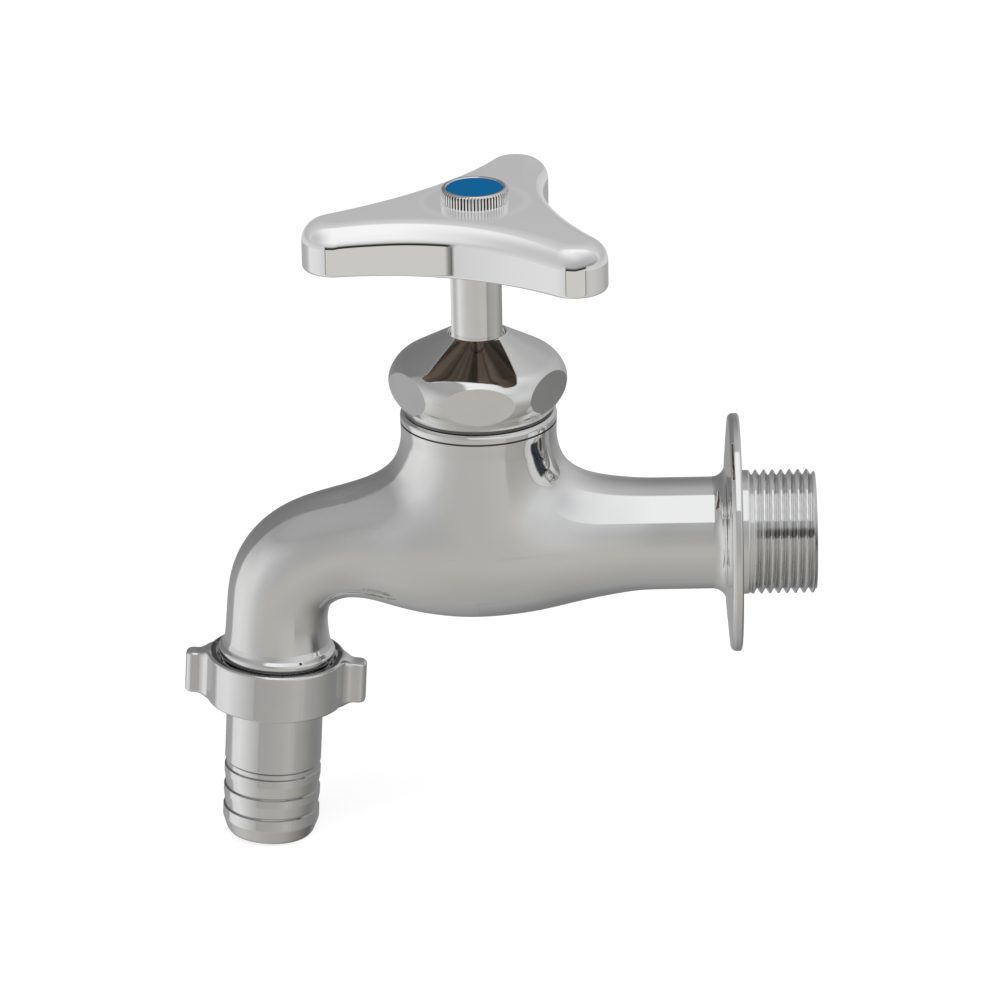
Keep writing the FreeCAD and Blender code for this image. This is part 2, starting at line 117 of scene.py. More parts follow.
# body barrel stations along its centreline: x, z, radius
SECTIONS = np.array([
    (4.0, 0.0, 11.95), (-2.0, 0.0, 11.95), (-7.0, 0.0, 11.95), (-11.0, 0.0, 11.95),
    (-16.0, 0.0, 11.95), (-21.5, 0.0, 12.02), (-26.5, -0.05, 12.60), (-31.6, -0.15, 13.38),
    (-36.7, -0.20, 14.42), (-41.9, -0.20, 15.62), (-47.0, -0.10, 16.52),
    (-52.1, 0.0, 17.05), (-57.0, 0.0, 17.20), (-61.0, 0.0, 17.02),
    (-65.0, 0.0, 16.55), (-69.1, 0.0, 15.80), (-73.2, 0.0, 14.75),
    (-77.0, -0.02, 13.60), (-80.4, -0.18, 12.72), (-83.4, -0.48, 12.14),
    (-86.3, -0.98, 11.80), (-89.1, -1.76, 11.68), (-91.8, -2.92, 11.68),
    (-94.2, -4.58, 11.66), (-96.2, -6.72, 11.58), (-97.62, -9.22, 11.40),
    (-98.50, -12.0, 11.10), (-98.98, -15.0, 10.84), (-99.22, -18.0, 10.84),
    (-99.30, -20.4, 11.00),
    (BARREL_END[0], BARREL_END[2], 11.30),
    (SPOUT_END[0] + 1.0 * DOWN[0], SPOUT_END[2] + 1.0 * DOWN[2], 11.90)])

# side of the cap nut between its foot and its cone: radius, z
NUT_BULGE = np.array([
    (16.85, 31.44), (17.34, 32.05), (17.80, 32.75), (18.17, 33.35), (18.45, 33.95), (18.68, 34.6),
    (18.85, 35.3), (18.94, 36.1), (18.90, 36.9), (18.75, 37.6), (18.50, 38.3), (18.12, 39.05),
    (17.64, 39.8), (17.10, 40.45), (16.50, 41.02), (15.80, 41.50)])


# --------------------------------------------------------------- mesh helpers
def new_mesh(name, verts, faces, *materials):
    """Smooth-shaded mesh from millimetre vertices."""
    mesh = bpy.data.meshes.new(name)
    mesh.from_pydata((verts * MM).tolist(), [], faces)
    mesh.update()
    mesh.polygons.foreach_set("use_smooth", np.ones(len(mesh.polygons), bool))
    for material in materials:
        mesh.materials.append(material)
    return mesh


def add_object(name, mesh, body, replaces=()):
    piece = bpy.data.objects.new(name, mesh)
    bpy.context.scene.collection.objects.link(piece)
    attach(piece, body)
    if replaces:
        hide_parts(*replaces)


def put(name, verts, faces, normals, material, body="tap_body", slot="chrome_cast", replaces=()):
    """Piece from quads, turned to agree with the vertex normals; collapsed quads are left out."""
    diagonal_1 = verts[faces[:, 2]] - verts[faces[:, 0]]
    diagonal_2 = verts[faces[:, 3]] - verts[faces[:, 1]]
    facing = np.cross(diagonal_1, diagonal_2)
    keep = np.linalg.norm(facing, axis=1) > 1e-9
    faces, facing = faces[keep], facing[keep]
    wrong = (facing * normals[faces].mean(axis=1)).sum(1) < 0
    faces[wrong] = faces[wrong][:, ::-1]
    mesh = new_mesh(name, verts, faces.tolist(), material)
    unit = normals / np.maximum(np.linalg.norm(normals, axis=1), 1e-12)[:, None]
    mesh.normals_split_custom_set_from_vertices(unit.tolist())
    add_object(name, mesh, body, replaces)


def put_mixed(name, verts, faces, normals, material, body, replaces):
    """Piece from a list of faces of mixed size, turned to agree with the unit vertex normals."""
    turned = []
    for face in faces:
        a, b, c = verts[face[:3]]
        if np.cross(b - a, c - a) @ normals[face].mean(axis=0) < 0:
            face = face[::-1]
        turned.append(face)
    mesh = new_mesh(name, verts, turned, material)
    mesh.normals_split_custom_set_from_vertices(normals.tolist())
    add_object(name, mesh, body, replaces)


def grid_faces(rows, columns, closed=False):
    """Quads of a grid whose columns wrap round, and whose rows do too if closed."""
    i, j = np.meshgrid(np.arange(rows if closed else rows - 1), np.arange(columns), indexing="ij")
    i2, j2 = (i + 1) % rows, (j + 1) % columns
    quads = [i * columns + j, i * columns + j2, i2 * columns + j2, i2 * columns + j]
    return np.stack(quads, -1).reshape(-1, 4)


def unit_2d(vector):
    return vector / np.linalg.norm(vector)


def rounded_profile(stations, closed, arc):
    """Stations (radius, z[, fillet]) to points and unit normals; sharp corners get two points.

    arc is the number of steps in a quarter-turn fillet.
    """
    points, normals = [], []
    count = len(stations)
    stations = [tuple(s) + (0.0,) * (3 - len(s)) for s in stations]
    spots = [np.array(s[:2], float) for s in stations]
    for i in range(count):
        here = spots[i]
        if not closed and i in (0, count - 1):
            along = unit_2d(spots[1] - here if i == 0 else here - spots[i - 1])
            points.append(here)
            normals.append(np.array([along[1], -along[0]]))
            continue
        a = unit_2d(here - spots[i - 1])
        b = unit_2d(spots[(i + 1) % count] - here)
        normal_a, normal_b = np.array([a[1], -a[0]]), np.array([b[1], -b[0]])
        fillet = stations[i][2]
        turn = math.atan2(a[0] * b[1] - a[1] * b[0], float(a @ b))
        if fillet <= 0 or abs(turn) < 1e-4:
            points += [here, here.copy()]
            normals += [normal_a, normal_b]
            continue
        side = 1.0 if turn > 0 else -1.0
        center = here - a * fillet * math.tan(abs(turn) / 2) - normal_a * fillet * side
        steps = max(3, int(arc * abs(turn) / (math.pi / 2)) + 2)
        for j in range(steps):
            angle = turn * j / (steps - 1)
            cos, sin = math.cos(angle), math.sin(angle)
            normal = np.array([normal_a[0] * cos - normal_a[1] * sin,
                               normal_a[0] * sin + normal_a[1] * cos])
            points.append(center + normal * fillet * side)
            normals.append(normal)
    points, normals = np.array(points), np.array(normals)
    if closed:
        following = np.roll(points, -1, axis=0)
        if np.sum(points[:, 0] * following[:, 1] - following[:, 0] * points[:, 1]) < 0:
            normals = -normals
    return points, normals


def spin(points, normals, segments, closed=False):
    """Revolve a profile of (radius, z) about Z: vertices, quads, normals."""
    angle = np.linspace(0, 2 * np.pi, segments, endpoint=False)
    cos, sin = np.cos(angle), np.sin(angle)

    def revolve(pairs):
        radial, axial = pairs.T
        parts = [np.outer(radial, cos), np.outer(radial, sin), np.outer(axial, np.ones(segments))]
        return np.stack(parts, -1).reshape(-1, 3)

    return revolve(points), grid_faces(len(points), segments, closed), revolve(normals)


def about_handle(verts, normals):
    return verts + np.array([HANDLE_X, 0, 0]), normals


def about_pipe(verts, normals):
    """Local Z becomes X."""
    return verts[:, [2, 0, 1]], normals[:, [2, 0, 1]]


def about_spout(verts, normals):
    """Local -Z runs down the spout axis."""
    axes = np.stack([ACROSS, np.array([0, 1.0, 0]), -DOWN], 0)
    return verts @ axes + SPOUT_END, normals @ axes


def lathe(name, stations, place, material, closed=False, segments=256, arc=8, **told):
    points, normals = rounded_profile(stations, closed, arc)
    verts, faces, normals = spin(points, normals, segments, closed)
    verts, normals = place(verts, normals)
    put(name, verts, faces, normals, material, **told)


def smoothstep(start, end, x):
    t = np.clip((x - start) / (end - start), 0, 1)
    return t * t * (3 - 2 * t)


def blur(values, half_width, spread):
    """Gaussian smoothing that holds both ends; widths are in samples."""
    kernel = np.exp(-0.5 * (np.arange(-half_width, half_width + 1) / spread) ** 2)
    kernel /= kernel.sum()
    before = 2 * values[0] - values[half_width:0:-1]
    after = 2 * values[-1] - values[-2:-(half_width + 2):-1]
    return np.convolve(np.concatenate([before, values, after]), kernel, "valid")


def spline(knots, values, where):
    """Natural cubic spline."""
    n = len(knots)
    gap = np.diff(knots)
    system = np.zeros((n, n))
    load = np.zeros(n)
    system[0, 0] = system[-1, -1] = 1
    for i in range(1, n - 1):
        system[i, i - 1:i + 2] = gap[i - 1], 2 * (gap[i - 1] + gap[i]), gap[i]
        slope_change = (values[i + 1] - values[i]) / gap[i] - (values[i] - values[i - 1]) / gap[i - 1]
        load[i] = 6 * slope_change
    bend = np.linalg.solve(system, load)
    k = np.clip(np.searchsorted(knots, where) - 1, 0, n - 2)
    past = where - knots[k]
    left = knots[k + 1] - where
    return ((bend[k] * left ** 3 + bend[k + 1] * past ** 3) / (6 * gap[k])
            + (values[k] / gap[k] - bend[k] * gap[k] / 6) * left
            + (values[k + 1] / gap[k] - bend[k + 1] * gap[k] / 6) * past)


# --------------------------------------------------- surfaces of distance fields
def gradient(field, points, offset=0.03):
    result = np.empty_like(points)
    for k in range(3):
        shift = np.zeros(3)
        shift[k] = offset
        result[:, k] = (field(points + shift) - field(points - shift)) / (2 * offset)
    return result


def field_normals(field, points):
    slope = gradient(field, points)
    return slope / np.maximum(np.linalg.norm(slope, axis=1), 1e-9)[:, None]


def project(field, points, rounds=7):
    """Move points onto field = 0."""
    for _ in range(rounds):
        value = field(points)
        slope = gradient(field, points)
        points = points - slope * (value / np.maximum((slope * slope).sum(1), 1e-6))[:, None]
    return points


def surface_nets(field, low, high, cell):
    """Vertices and quads of field = 0 on a grid, the vertices projected onto the surface."""
    axes = [np.arange(low[k], high[k] + cell, cell) for k in range(3)]
    x, y, z = np.meshgrid(*axes, indexing="ij")
    values = np.empty(x.shape)
    for i in range(x.shape[0]):
        layer = np.stack([x[i].ravel(), y[i].ravel(), z[i].ravel()], 1)
        values[i] = field(layer).reshape(x.shape[1:])
    inside = values < 0
    cells = np.array(inside.shape) - 1
    corners_in = np.zeros(tuple(cells), int)
    for a, b, c in np.ndindex(2, 2, 2):
        corners_in += inside[a:cells[0] + a, b:cells[1] + b, c:cells[2] + c]
    active = (corners_in > 0) & (corners_in < 8)
    index = -np.ones(active.shape, int)
    index[active] = np.arange(active.sum())

    # each vertex starts at the mean edge crossing of its cell
    points = np.zeros((active.sum(), 3))
    crossings = np.zeros(active.sum())
    base = np.argwhere(active)
    origin = np.array([axis[0] for axis in axes])
    for axis in range(3):
        side_1, side_2 = [k for k in range(3) if k != axis]
        for a, b in np.ndindex(2, 2):
            start = base.copy()
            start[:, side_1] += a
            start[:, side_2] += b
            end = start.copy()
            end[:, axis] += 1
            value_0 = values[tuple(start.T)]
            value_1 = values[tuple(end.T)]
            crossed = (value_0 < 0) != (value_1 < 0)
            share = np.where(crossed, value_0 / np.where(crossed, value_0 - value_1, 1), 0)
            crossing = origin + cell * start
            crossing[:, axis] += cell * share
            points[crossed] += crossing[crossed]
            crossings[crossed] += 1
    points /= np.maximum(crossings, 1)[:, None]

    faces = []
    for axis in range(3):
        side_1, side_2 = [k for k in range(3) if k != axis]
        before = [slice(None)] * 3
        after = [slice(None)] * 3
        before[axis], after[axis] = slice(0, -1), slice(1, None)
        edges = np.argwhere(inside[tuple(before)] != inside[tuple(after)])
        inner = ((edges[:, side_1] > 0) & (edges[:, side_2] > 0)
                 & (edges[:, side_1] < active.shape[side_1])
                 & (edges[:, side_2] < active.shape[side_2]))
        edges = edges[inner]
        quad = []
        for a, b in ((-1, -1), (0, -1), (0, 0), (-1, 0)):
            around = edges.copy()
            around[:, side_1] += a
            around[:, side_2] += b
            quad.append(index[tuple(around.T)])
        faces.append(np.stack(quad, 1))
    faces = np.concatenate(faces)
    return project(field, points), faces[(faces >= 0).all(1)]


def trim(verts, faces, planes):
    """Cut the mesh off beyond each plane (point, normal)."""
    bm = bmesh.new()
    corners = [bm.verts.new(v) for v in verts]
    for face in faces:
        try:
            bm.faces.new([corners[i] for i in face])
        except ValueError:
            pass    # the net can give the same face twice
    for point, normal in planes:
        geometry = bm.verts[:] + bm.edges[:] + bm.faces[:]
        bmesh.ops.bisect_plane(bm, geom=geometry, dist=1e-5, plane_co=point, plane_no=normal,
                               clear_outer=True)
    bmesh.ops.triangulate(bm, faces=[face for face in bm.faces if len(face.verts) > 4])
    bm.verts.index_update()
    verts = np.array([v.co for v in bm.verts])
    faces = [[v.index for v in face.verts] for face in bm.faces]
    bm.free()
    return verts, faces


# -------------------------------------------------------------- node helpers
# Polished plate reflects about this share, so room tones are divided by it.
GAIN = 0.93


def linear(level):
    """Display level 0 to 255 as linear light."""
    level = level / 255.0
    return level / 12.92 if level <= 0.04045 else ((level + 0.055) / 1.055) ** 2.4


def tone(grey, warmth=0.0):
    """Display grey with a warm (+) or cool (-) cast, as scene light."""
    levels = (grey + 0.35 * warmth, grey, grey - 0.9 * warmth)
    return tuple(linear(min(level, 254)) / GAIN for level in levels)


class Graph:
    """Node tree of a material or a world, with short ways to add nodes."""

    def __init__(self, owner, output="OutputMaterial"):
        owner.use_nodes = True
        self.owner = owner
        self.tree = owner.node_tree
        self.tree.nodes.clear()
        self.output = self.node(output)

    def feed(self, socket, value):
        """Link an output into a socket, or set its value."""
        if isinstance(value, bpy.types.NodeSocket):
            self.tree.links.new(value, socket)
        elif socket.type == "RGBA":
            socket.default_value = (*value, 1)
        else:
            socket.default_value = value

    def node(self, kind, inputs=None, **settings):
        node = self.tree.nodes.new("ShaderNode" + kind)
        for key, value in settings.items():
            setattr(node, key, value)
        for key, value in (inputs or {}).items():
            self.feed(node.inputs[key], value)
        return node

    def show(self, shader):
        self.feed(self.output.inputs["Surface"], shader)

    def coordinates(self):
        return self.node("TexCoord").outputs

    def split(self, vector):
        return self.node("SeparateXYZ", {0: vector}).outputs

    def math(self, operation, *values):
        return self.node("Math", dict(enumerate(values)), operation=operation).outputs[0]

    def times(self, first, *others):
        for other in others:
            first = self.math("MULTIPLY", first, other)
        return first

    def dot(self, vector, axis):
        node = self.node("VectorMath", {0: vector, 1: axis}, operation="DOT_PRODUCT")
        return node.outputs["Value"]

    def radius(self, a, b):
        return self.math("SQRT", self.math("ADD", self.times(a, a), self.times(b, b)))

    def step(self, value, start, end, unit=1.0, shape="SMOOTHSTEP"):
        """0 at start to 1 at end."""
        inputs = {"From Min": start * unit, "From Max": end * unit, "Value": value}
        return self.node("MapRange", inputs, interpolation_type=shape).outputs["Result"]

    def window(self, value, rise, fall, unit=1.0):
        """1 between the rise and the fall, each given as (where it is 0, where it is 1)."""
        return self.times(self.step(value, *rise, unit), self.step(value, *fall, unit))

    def zigzag(self, value):
        """1 at whole numbers, 0 half way between."""
        offset = self.math("SUBTRACT", self.math("FRACT", value), 0.5)
        return self.times(self.math("ABSOLUTE", offset), 2.0)

    def noise(self, where, scale, detail=2.0, dimensions="3D"):
        key = "W" if dimensions == "1D" else "Vector"
        inputs = {key: where, "Scale": scale, "Detail": detail}
        return self.node("TexNoise", inputs, noise_dimensions=dimensions).outputs["Fac"]

    def mix(self, factor, a, b):
        inputs = {"Factor": factor, "A": a, "B": b}
        return self.node("Mix", inputs, data_type="RGBA").outputs["Result"]

    def mix_shader(self, factor, a, b):
        return self.node("MixShader", {"Fac": factor, 1: a, 2: b}).outputs[0]

    def bump(self, height, strength, distance, under=None):
        inputs = {"Strength": strength, "Distance": distance * MM, "Height": height}
        if under:
            inputs["Normal"] = under
        return self.node("Bump", inputs).outputs["Normal"]

    def ramp(self, value, stops):
        """Tones from stops (position, grey[, warmth])."""
        low, high = stops[0][0], stops[-1][0]
        node = self.node("ValToRGB")
        elements = node.color_ramp.elements
        while len(elements) > 1:
            elements.remove(elements[-1])
        for i, (position, *shade) in enumerate(stops):
            place = (position - low) / (high - low)
            element = elements.new(place) if i else elements[0]
            element.position = place
            element.color = (*tone(*shade), 1)
        self.feed(node.inputs["Fac"], self.step(value, low, high, shape="LINEAR"))
        return node.outputs["Color"]

    def blend_base(self, factor, color):
        """Mix a colour over the base colour."""
        socket = self.base.inputs["Base Color"]
        self.feed(socket, self.mix(factor, socket.links[0].from_socket, color))

    def overlay(self, color, strength, share):
        """Lay an emitted picture of the room over the metal, as a painted reflection."""
        emission = self.node("Emission", {"Color": color, "Strength": strength})
        self.show(self.mix_shader(share, self.base.outputs[0], emission.outputs[0]))

    def axis_offsets(self, place):
        """x from the handle axis, y and z of an object position."""
        x, y, z = self.split(place)
        return self.math("SUBTRACT", x, HANDLE_X * MM), y, z


# ------------------------------------------------------------ room reflections, and painted reflections on parts
# The room round the tap: elevation, then stops of (azimuth, grey[, warmth]). Angles are degrees.
BANDS = [
    (-80, [(-180, 153), (-90, 160, 2), (0, 159, 2), (90, 153), (180, 152)]),
    (-58, [(-180, 140), (-150, 158), (-120, 169, 2), (-50, 173, 4), (-10, 164, 4), (30, 163, 4),
           (50, 157, 4), (90, 130, 6), (130, 102), (150, 110), (180, 135)]),
    (-40, [(-180, 128), (-150, 155), (-130, 176), (-90, 200, 2), (-50, 176, 3), (-10, 169, 6),
           (30, 170, 6), (50, 162, 6), (70, 153, 7), (90, 133, 6), (112, 106), (132, 92),
           (150, 104), (180, 122)]),
    (-24, [(-180, 158), (-121, 156), (-115, 213), (-92, 218), (-72, 203), (-50, 181, 2),
           (-30, 173, 4), (0, 174, 6), (38, 179, 6), (42, 156, 5), (70, 156, 5), (84, 142, 3),
           (100, 115), (118, 113), (140, 132), (160, 150), (180, 165)]),
    (-12, [(-180, 116), (-150, 138), (-122, 152), (-117, 212), (-92, 215), (-70, 204), (-50, 178),
           (-30, 172, 3), (0, 173, 6), (30, 180, 6), (50, 174, 4), (72, 174), (80, 140), (86, 82),
           (97, 84), (108, 124), (130, 148), (160, 162), (180, 150)]),
    (3, [(-180, 114), (-150, 119), (-119, 140), (-115, 205), (-92, 207), (-68, 208),
         (-50, 183, -1), (-30, 168), (0, 163, 3), (14, 176, 2), (32, 192), (52, 199, -1),
         (76, 196, -1), (90, 140), (104, 168), (130, 177), (150, 174), (172, 156), (180, 120)]),
    (20, [(-180, 114), (-150, 117), (-116, 124), (-113, 170), (-98, 180), (-82, 194), (-66, 196),
          (-50, 184), (-30, 166), (-6, 154, 2), (12, 172), (32, 190, -1), (52, 202, -1),
          (72, 200, -1), (92, 187), (130, 182), (152, 175), (170, 141), (180, 122)]),
    (38, [(-180, 134), (-150, 122), (-120, 121), (-115, 149), (-84, 156, -1), (-50, 160),
          (-8, 150), (10, 184, -1), (30, 197, -2), (52, 192, -2), (72, 192, -2), (92, 202),
          (112, 196), (130, 185), (152, 170), (170, 154), (180, 140)]),
    (60, [(-180, 172), (-160, 146), (-146, 130), (-126, 130), (-121, 157), (-90, 160), (-40, 162),
          (0, 166), (50, 188, -2), (92, 206), (112, 206), (132, 193), (156, 180), (180, 172)]),
]
# overhead softbox, against the x part of the direction
SOFTBOX = [(-0.3, 236, -1), (0.05, 236, -1), (0.35, 222, -1), (0.8, 228, -1)]

# Painted reflection tones emitted over the handle: what the handle sees. Front and near-wall tones go
# by elevation, falling off with azimuth.
HANDLE_FRONT = [
    (-40, 200, 6), (-18.5, 201, 6), (-17.6, 30), (-17, 5), (-10, 8), (-7, 80), (-3.5, 178),
    (2, 205), (8, 226), (15, 240), (24, 245), (50, 245), (90, 246)]
HANDLE_NEAR_WALL = [
    (-40, 200, 6), (-18.5, 201, 6), (-17.6, 30), (-15, 5), (-12, 10), (-8, 90), (-3, 150),
    (6, 168), (16, 172), (30, 186), (50, 212), (90, 240)]
# by elevation
HANDLE_SIDE = [
    (-40, 203, 3), (-23, 211), (-10, 207), (0, 198, -1), (14, 193, -1), (28, 195, -1), (40, 206),
    (52, 222), (66, 240), (90, 246)]
# by azimuth
HANDLE_LOW = [
    (-180, 168), (-130, 172), (-112, 178), (-96, 222), (-60, 218), (-37, 207), (-34.6, 206),
    (-33.6, 40), (-32.8, 40), (-31.8, 200, 6), (34.8, 201, 6), (35.6, 35), (37.0, 35),
    (38.2, 190, 2), (60, 196, 2), (100, 186, 2), (130, 166, 4), (180, 170)]
# by angle about X
HANDLE_BACK = [(100, 236), (106, 212), (122, 203), (145, 192), (165, 185), (180, 184)]

# painted reflections on upright faces, by azimuth
COUPLING_ROOM = [
    (-180, 140), (-145, 156), (-122, 160), (-113, 212), (-88, 218), (-71, 204), (-54, 188),
    (-39, 168), (-34.5, 144), (-32, 152, 2), (-10, 154, 3), (4, 157, 3), (19, 161, 4),
    (36, 169, 4), (47, 171, 3), (51, 160, 3), (66, 147, 2), (84, 138, 2), (105, 131), (135, 128),
    (180, 130)]
STEM_ROOM = [
    (-180, 160), (-160, 231), (-140, 226), (-112, 162), (-98, 190), (-82, 220), (-62, 199),
    (-40, 187, 2), (-4, 181, 6), (34, 184, 4), (45, 186, 3), (48, 140, 5), (60, 152, 5),
    (74, 160, 4), (96, 177, 2), (118, 158, 2), (132, 138, 2), (180, 130)]
NUT_ROOM = [
    (-180, 140), (-121, 162), (-60, 170), (0, 175, 6), (60, 168, 3), (100, 124, 1), (121, 117, 1),
    (180, 135)]


def angles(graph, direction, *wanted):
    """Wanted parts of a direction: azimuth from the front, elevation, angle about X ("tilt"), x."""
    x, y, z = graph.split(direction)
    front = graph.times(y, -1.0)

    def degrees(operation, *values):
        return graph.times(graph.math(operation, *values), 180 / math.pi)

    parts = {"azimuth": lambda: degrees("ARCTAN2", x, front),
             "elevation": lambda: degrees("ARCSINE", z),
             "tilt": lambda: degrees("ARCTAN2", z, front),
             "x": lambda: x}
    return [parts[name]() for name in wanted]


def studio(graph, direction):
    """The room as the polished metal sees it."""
    azimuth, elevation, tilt, x = angles(graph, direction, "azimuth", "elevation", "tilt", "x")
    color = graph.ramp(azimuth, BANDS[0][1])
    for (below, _), (height, stops) in zip(BANDS, BANDS[1:]):
        rise = graph.step(elevation, below, height, shape="LINEAR")
        color = graph.mix(rise, color, graph.ramp(azimuth, stops))
    # long overhead softbox
    mask = graph.times(graph.window(tilt, rise=(41.5, 43.5), fall=(107.5, 104.0)),
                       graph.step(x, start=-0.26, end=-0.15),
                       graph.step(x, start=0.82, end=0.30))
    mask = graph.math("MAXIMUM", mask, graph.step(elevation, start=74, end=79))
    return graph.mix(mask, color, graph.ramp(x, SOFTBOX))


def handle_room(graph, direction):
    """Painted reflection for the handle, what it sees: the table ends lower down, with a dark gap
    under the front softbox.
    """
    azimuth, elevation, tilt = angles(graph, direction, "azimuth", "elevation", "tilt")
    azimuth_fall = -0.30
    height = graph.math("MULTIPLY_ADD", graph.math("MAXIMUM", azimuth, 0.0), azimuth_fall,
                        elevation)
    front = graph.ramp(height, HANDLE_FRONT)
    # the arm nearer the wall lies under the edge of the softbox and sees less of it, so by position
    # its painted reflection takes the dimmer near-wall tones
    near_wall = graph.ramp(height, HANDLE_NEAR_WALL)
    place_x = graph.split(graph.node("NewGeometry").outputs["Position"])[0]
    toward_wall = graph.step(place_x, start=HANDLE_X + 6.0, end=HANDLE_X + 22.0, unit=MM)
    front = graph.mix(toward_wall, front, near_wall)
    side = graph.ramp(elevation, HANDLE_SIDE)
    low = graph.ramp(azimuth, HANDLE_LOW)
    # the front is sharply bounded low down and fades widely higher up
    sharp = graph.window(azimuth, rise=(-36.0, -31.0), fall=(40.0, 35.0))
    wide = graph.window(azimuth, rise=(-75.0, -5.0), fall=(110.0, 25.0))
    raised = graph.step(elevation, start=-2.0, end=9.0)
    share = graph.math("ADD", graph.times(sharp, graph.math("SUBTRACT", 1.0, raised)),
                       graph.times(wide, raised))
    high = graph.mix(share, side, front)
    color = graph.mix(graph.step(elevation, start=-18.6, end=-17.9), low, high)
    back = graph.ramp(tilt, HANDLE_BACK)
    return graph.mix(graph.step(tilt, start=101, end=107), color, back)


# ------------------------------------------------------------------ materials
def metal(name, color, roughness, spread, bump, drift, grain=900.0, lines=None):
    """Plated or turned metal.

    spread: roughness variation; drift: slow darkening of the tone; grain: scale of the fine haze;
    lines: turning lines as strength, per_metre and axis.
    """
    graph = Graph(bpy.data.materials.new(name))
    graph.base = graph.node("BsdfPrincipled", {"Metallic": 1.0})
    place = graph.coordinates()["Object"]
    slow = graph.noise(place, scale=55.0, detail=4.0)
    fine = graph.noise(place, scale=grain, detail=3.0)
    mean = graph.times(graph.math("ADD", slow, fine), 0.5)
    rough = graph.node("MapRange", {
        "From Min": 0.3, "From Max": 0.7, "Value": mean,
        "To Min": roughness - spread, "To Max": roughness + spread})
    graph.feed(graph.base.inputs["Roughness"], rough.outputs["Result"])
    darker = tuple(part * (1 - drift) for part in color)
    graph.feed(graph.base.inputs["Base Color"], graph.mix(slow, darker, color))
    normal = None
    if bump:
        normal = graph.bump(fine, strength=bump, distance=0.05)
    if lines:
        along = graph.times(graph.dot(place, lines["axis"]), lines["per_metre"])
        streaks = graph.noise(along, scale=1.0, detail=6.0, dimensions="1D")
        normal = graph.bump(streaks, strength=lines["strength"], distance=0.03, under=normal)
    if normal:
        graph.feed(graph.base.inputs["Normal"], normal)
    graph.show(graph.base.outputs["BSDF"])
    return graph


def soft(name, color, roughness, bump, grain, spread):
    """Rubber or plastic with speckled colour and roughness and a fine moulded grain."""
    graph = Graph(bpy.data.materials.new(name))
    graph.base = graph.node("BsdfPrincipled")
    speckle = graph.noise(graph.coordinates()["Object"], scale=grain, detail=5.0)
    rough = graph.node("MapRange", {
        "To Min": roughness * 0.8, "To Max": roughness * 1.2, "Value": speckle})
    darker = tuple(part * (1 - spread) for part in color)
    lighter = tuple(part * (1 + spread) for part in color)
    for socket, value in (("Base Color", graph.mix(speckle, darker, lighter)),
                          ("Roughness", rough.outputs["Result"]),
                          ("Normal", graph.bump(speckle, strength=bump, distance=0.05))):
        graph.feed(graph.base.inputs[socket], value)
    graph.show(graph.base.outputs["BSDF"])
    return graph


def local_room(graph, stops, middle, full, none, share):
    """Upright faces get a painted reflection of their own stretch of the room, emitted over the
    metal.

    It is laid on within `full` degrees of the middle elevation and gone at `none`.
    """
    coordinates = graph.coordinates()
    azimuth, elevation = angles(graph, coordinates["Reflection"], "azimuth", "elevation")
    offset = graph.math("ABSOLUTE", graph.math("SUBTRACT", elevation, middle))
    mottle = graph.noise(coordinates["Object"], scale=260.0, detail=4.0)
    mottle_range, mottle_floor = 0.10, 0.95
    graph.overlay(
        color=graph.ramp(azimuth, stops),
        strength=graph.math("MULTIPLY_ADD", mottle, mottle_range * GAIN, mottle_floor * GAIN),
        share=graph.times(graph.step(offset, start=none, end=full), share))


def body_metal(name):
    """Polished casting, with a painted reflection of the flange: a dark slot laid into the base
    colour on the side of the neck.
    """
    graph = metal(name, color=(0.93, 0.93, 0.925), roughness=0.035, spread=0.015, bump=0.012,
                  grain=420.0, drift=0.02)
    coordinates = graph.coordinates()
    azimuth, elevation = angles(graph, coordinates["Reflection"], "azimuth", "elevation")
    z = graph.split(coordinates["Object"])[2]
    # painted reflection: dark slot by reflection direction and height on the neck
    mask = graph.times(graph.window(azimuth, rise=(84.0, 88.0), fall=(104.0, 99.0)),
                       graph.window(elevation, rise=(-33.0, -29.0), fall=(-5.0, -9.0)),
                       graph.window(z, rise=(6.0, 11.0), fall=(26.2, 25.5), unit=MM))
    graph.blend_base(mask, color=(0.06, 0.07, 0.08))
    return graph.owner


def screw_metal(name):
    """Turned spigot with the fine relief of its screw thread."""
    graph = metal(name, color=(0.80, 0.80, 0.79), roughness=0.16, spread=0.04, bump=0.0,
                  drift=0.05)
    along = graph.dot(graph.coordinates()["Object"], DOWN_AXIS)
    ridges = graph.zigzag(graph.times(along, 1.0 / (PITCH * MM)))
    graph.feed(graph.base.inputs["Normal"], graph.bump(ridges, strength=0.9, distance=0.6))
    return graph.owner


def nut_flat_metal(name):
    graph = metal(name, color=(0.92, 0.92, 0.915), roughness=0.10, spread=0.03, bump=0.02,
                  grain=500.0, drift=0.03)
    # painted reflection of the room on the six flats
    local_room(graph, NUT_ROOM, middle=-21.0, full=14.0, none=26.0, share=0.9)
    return graph.owner


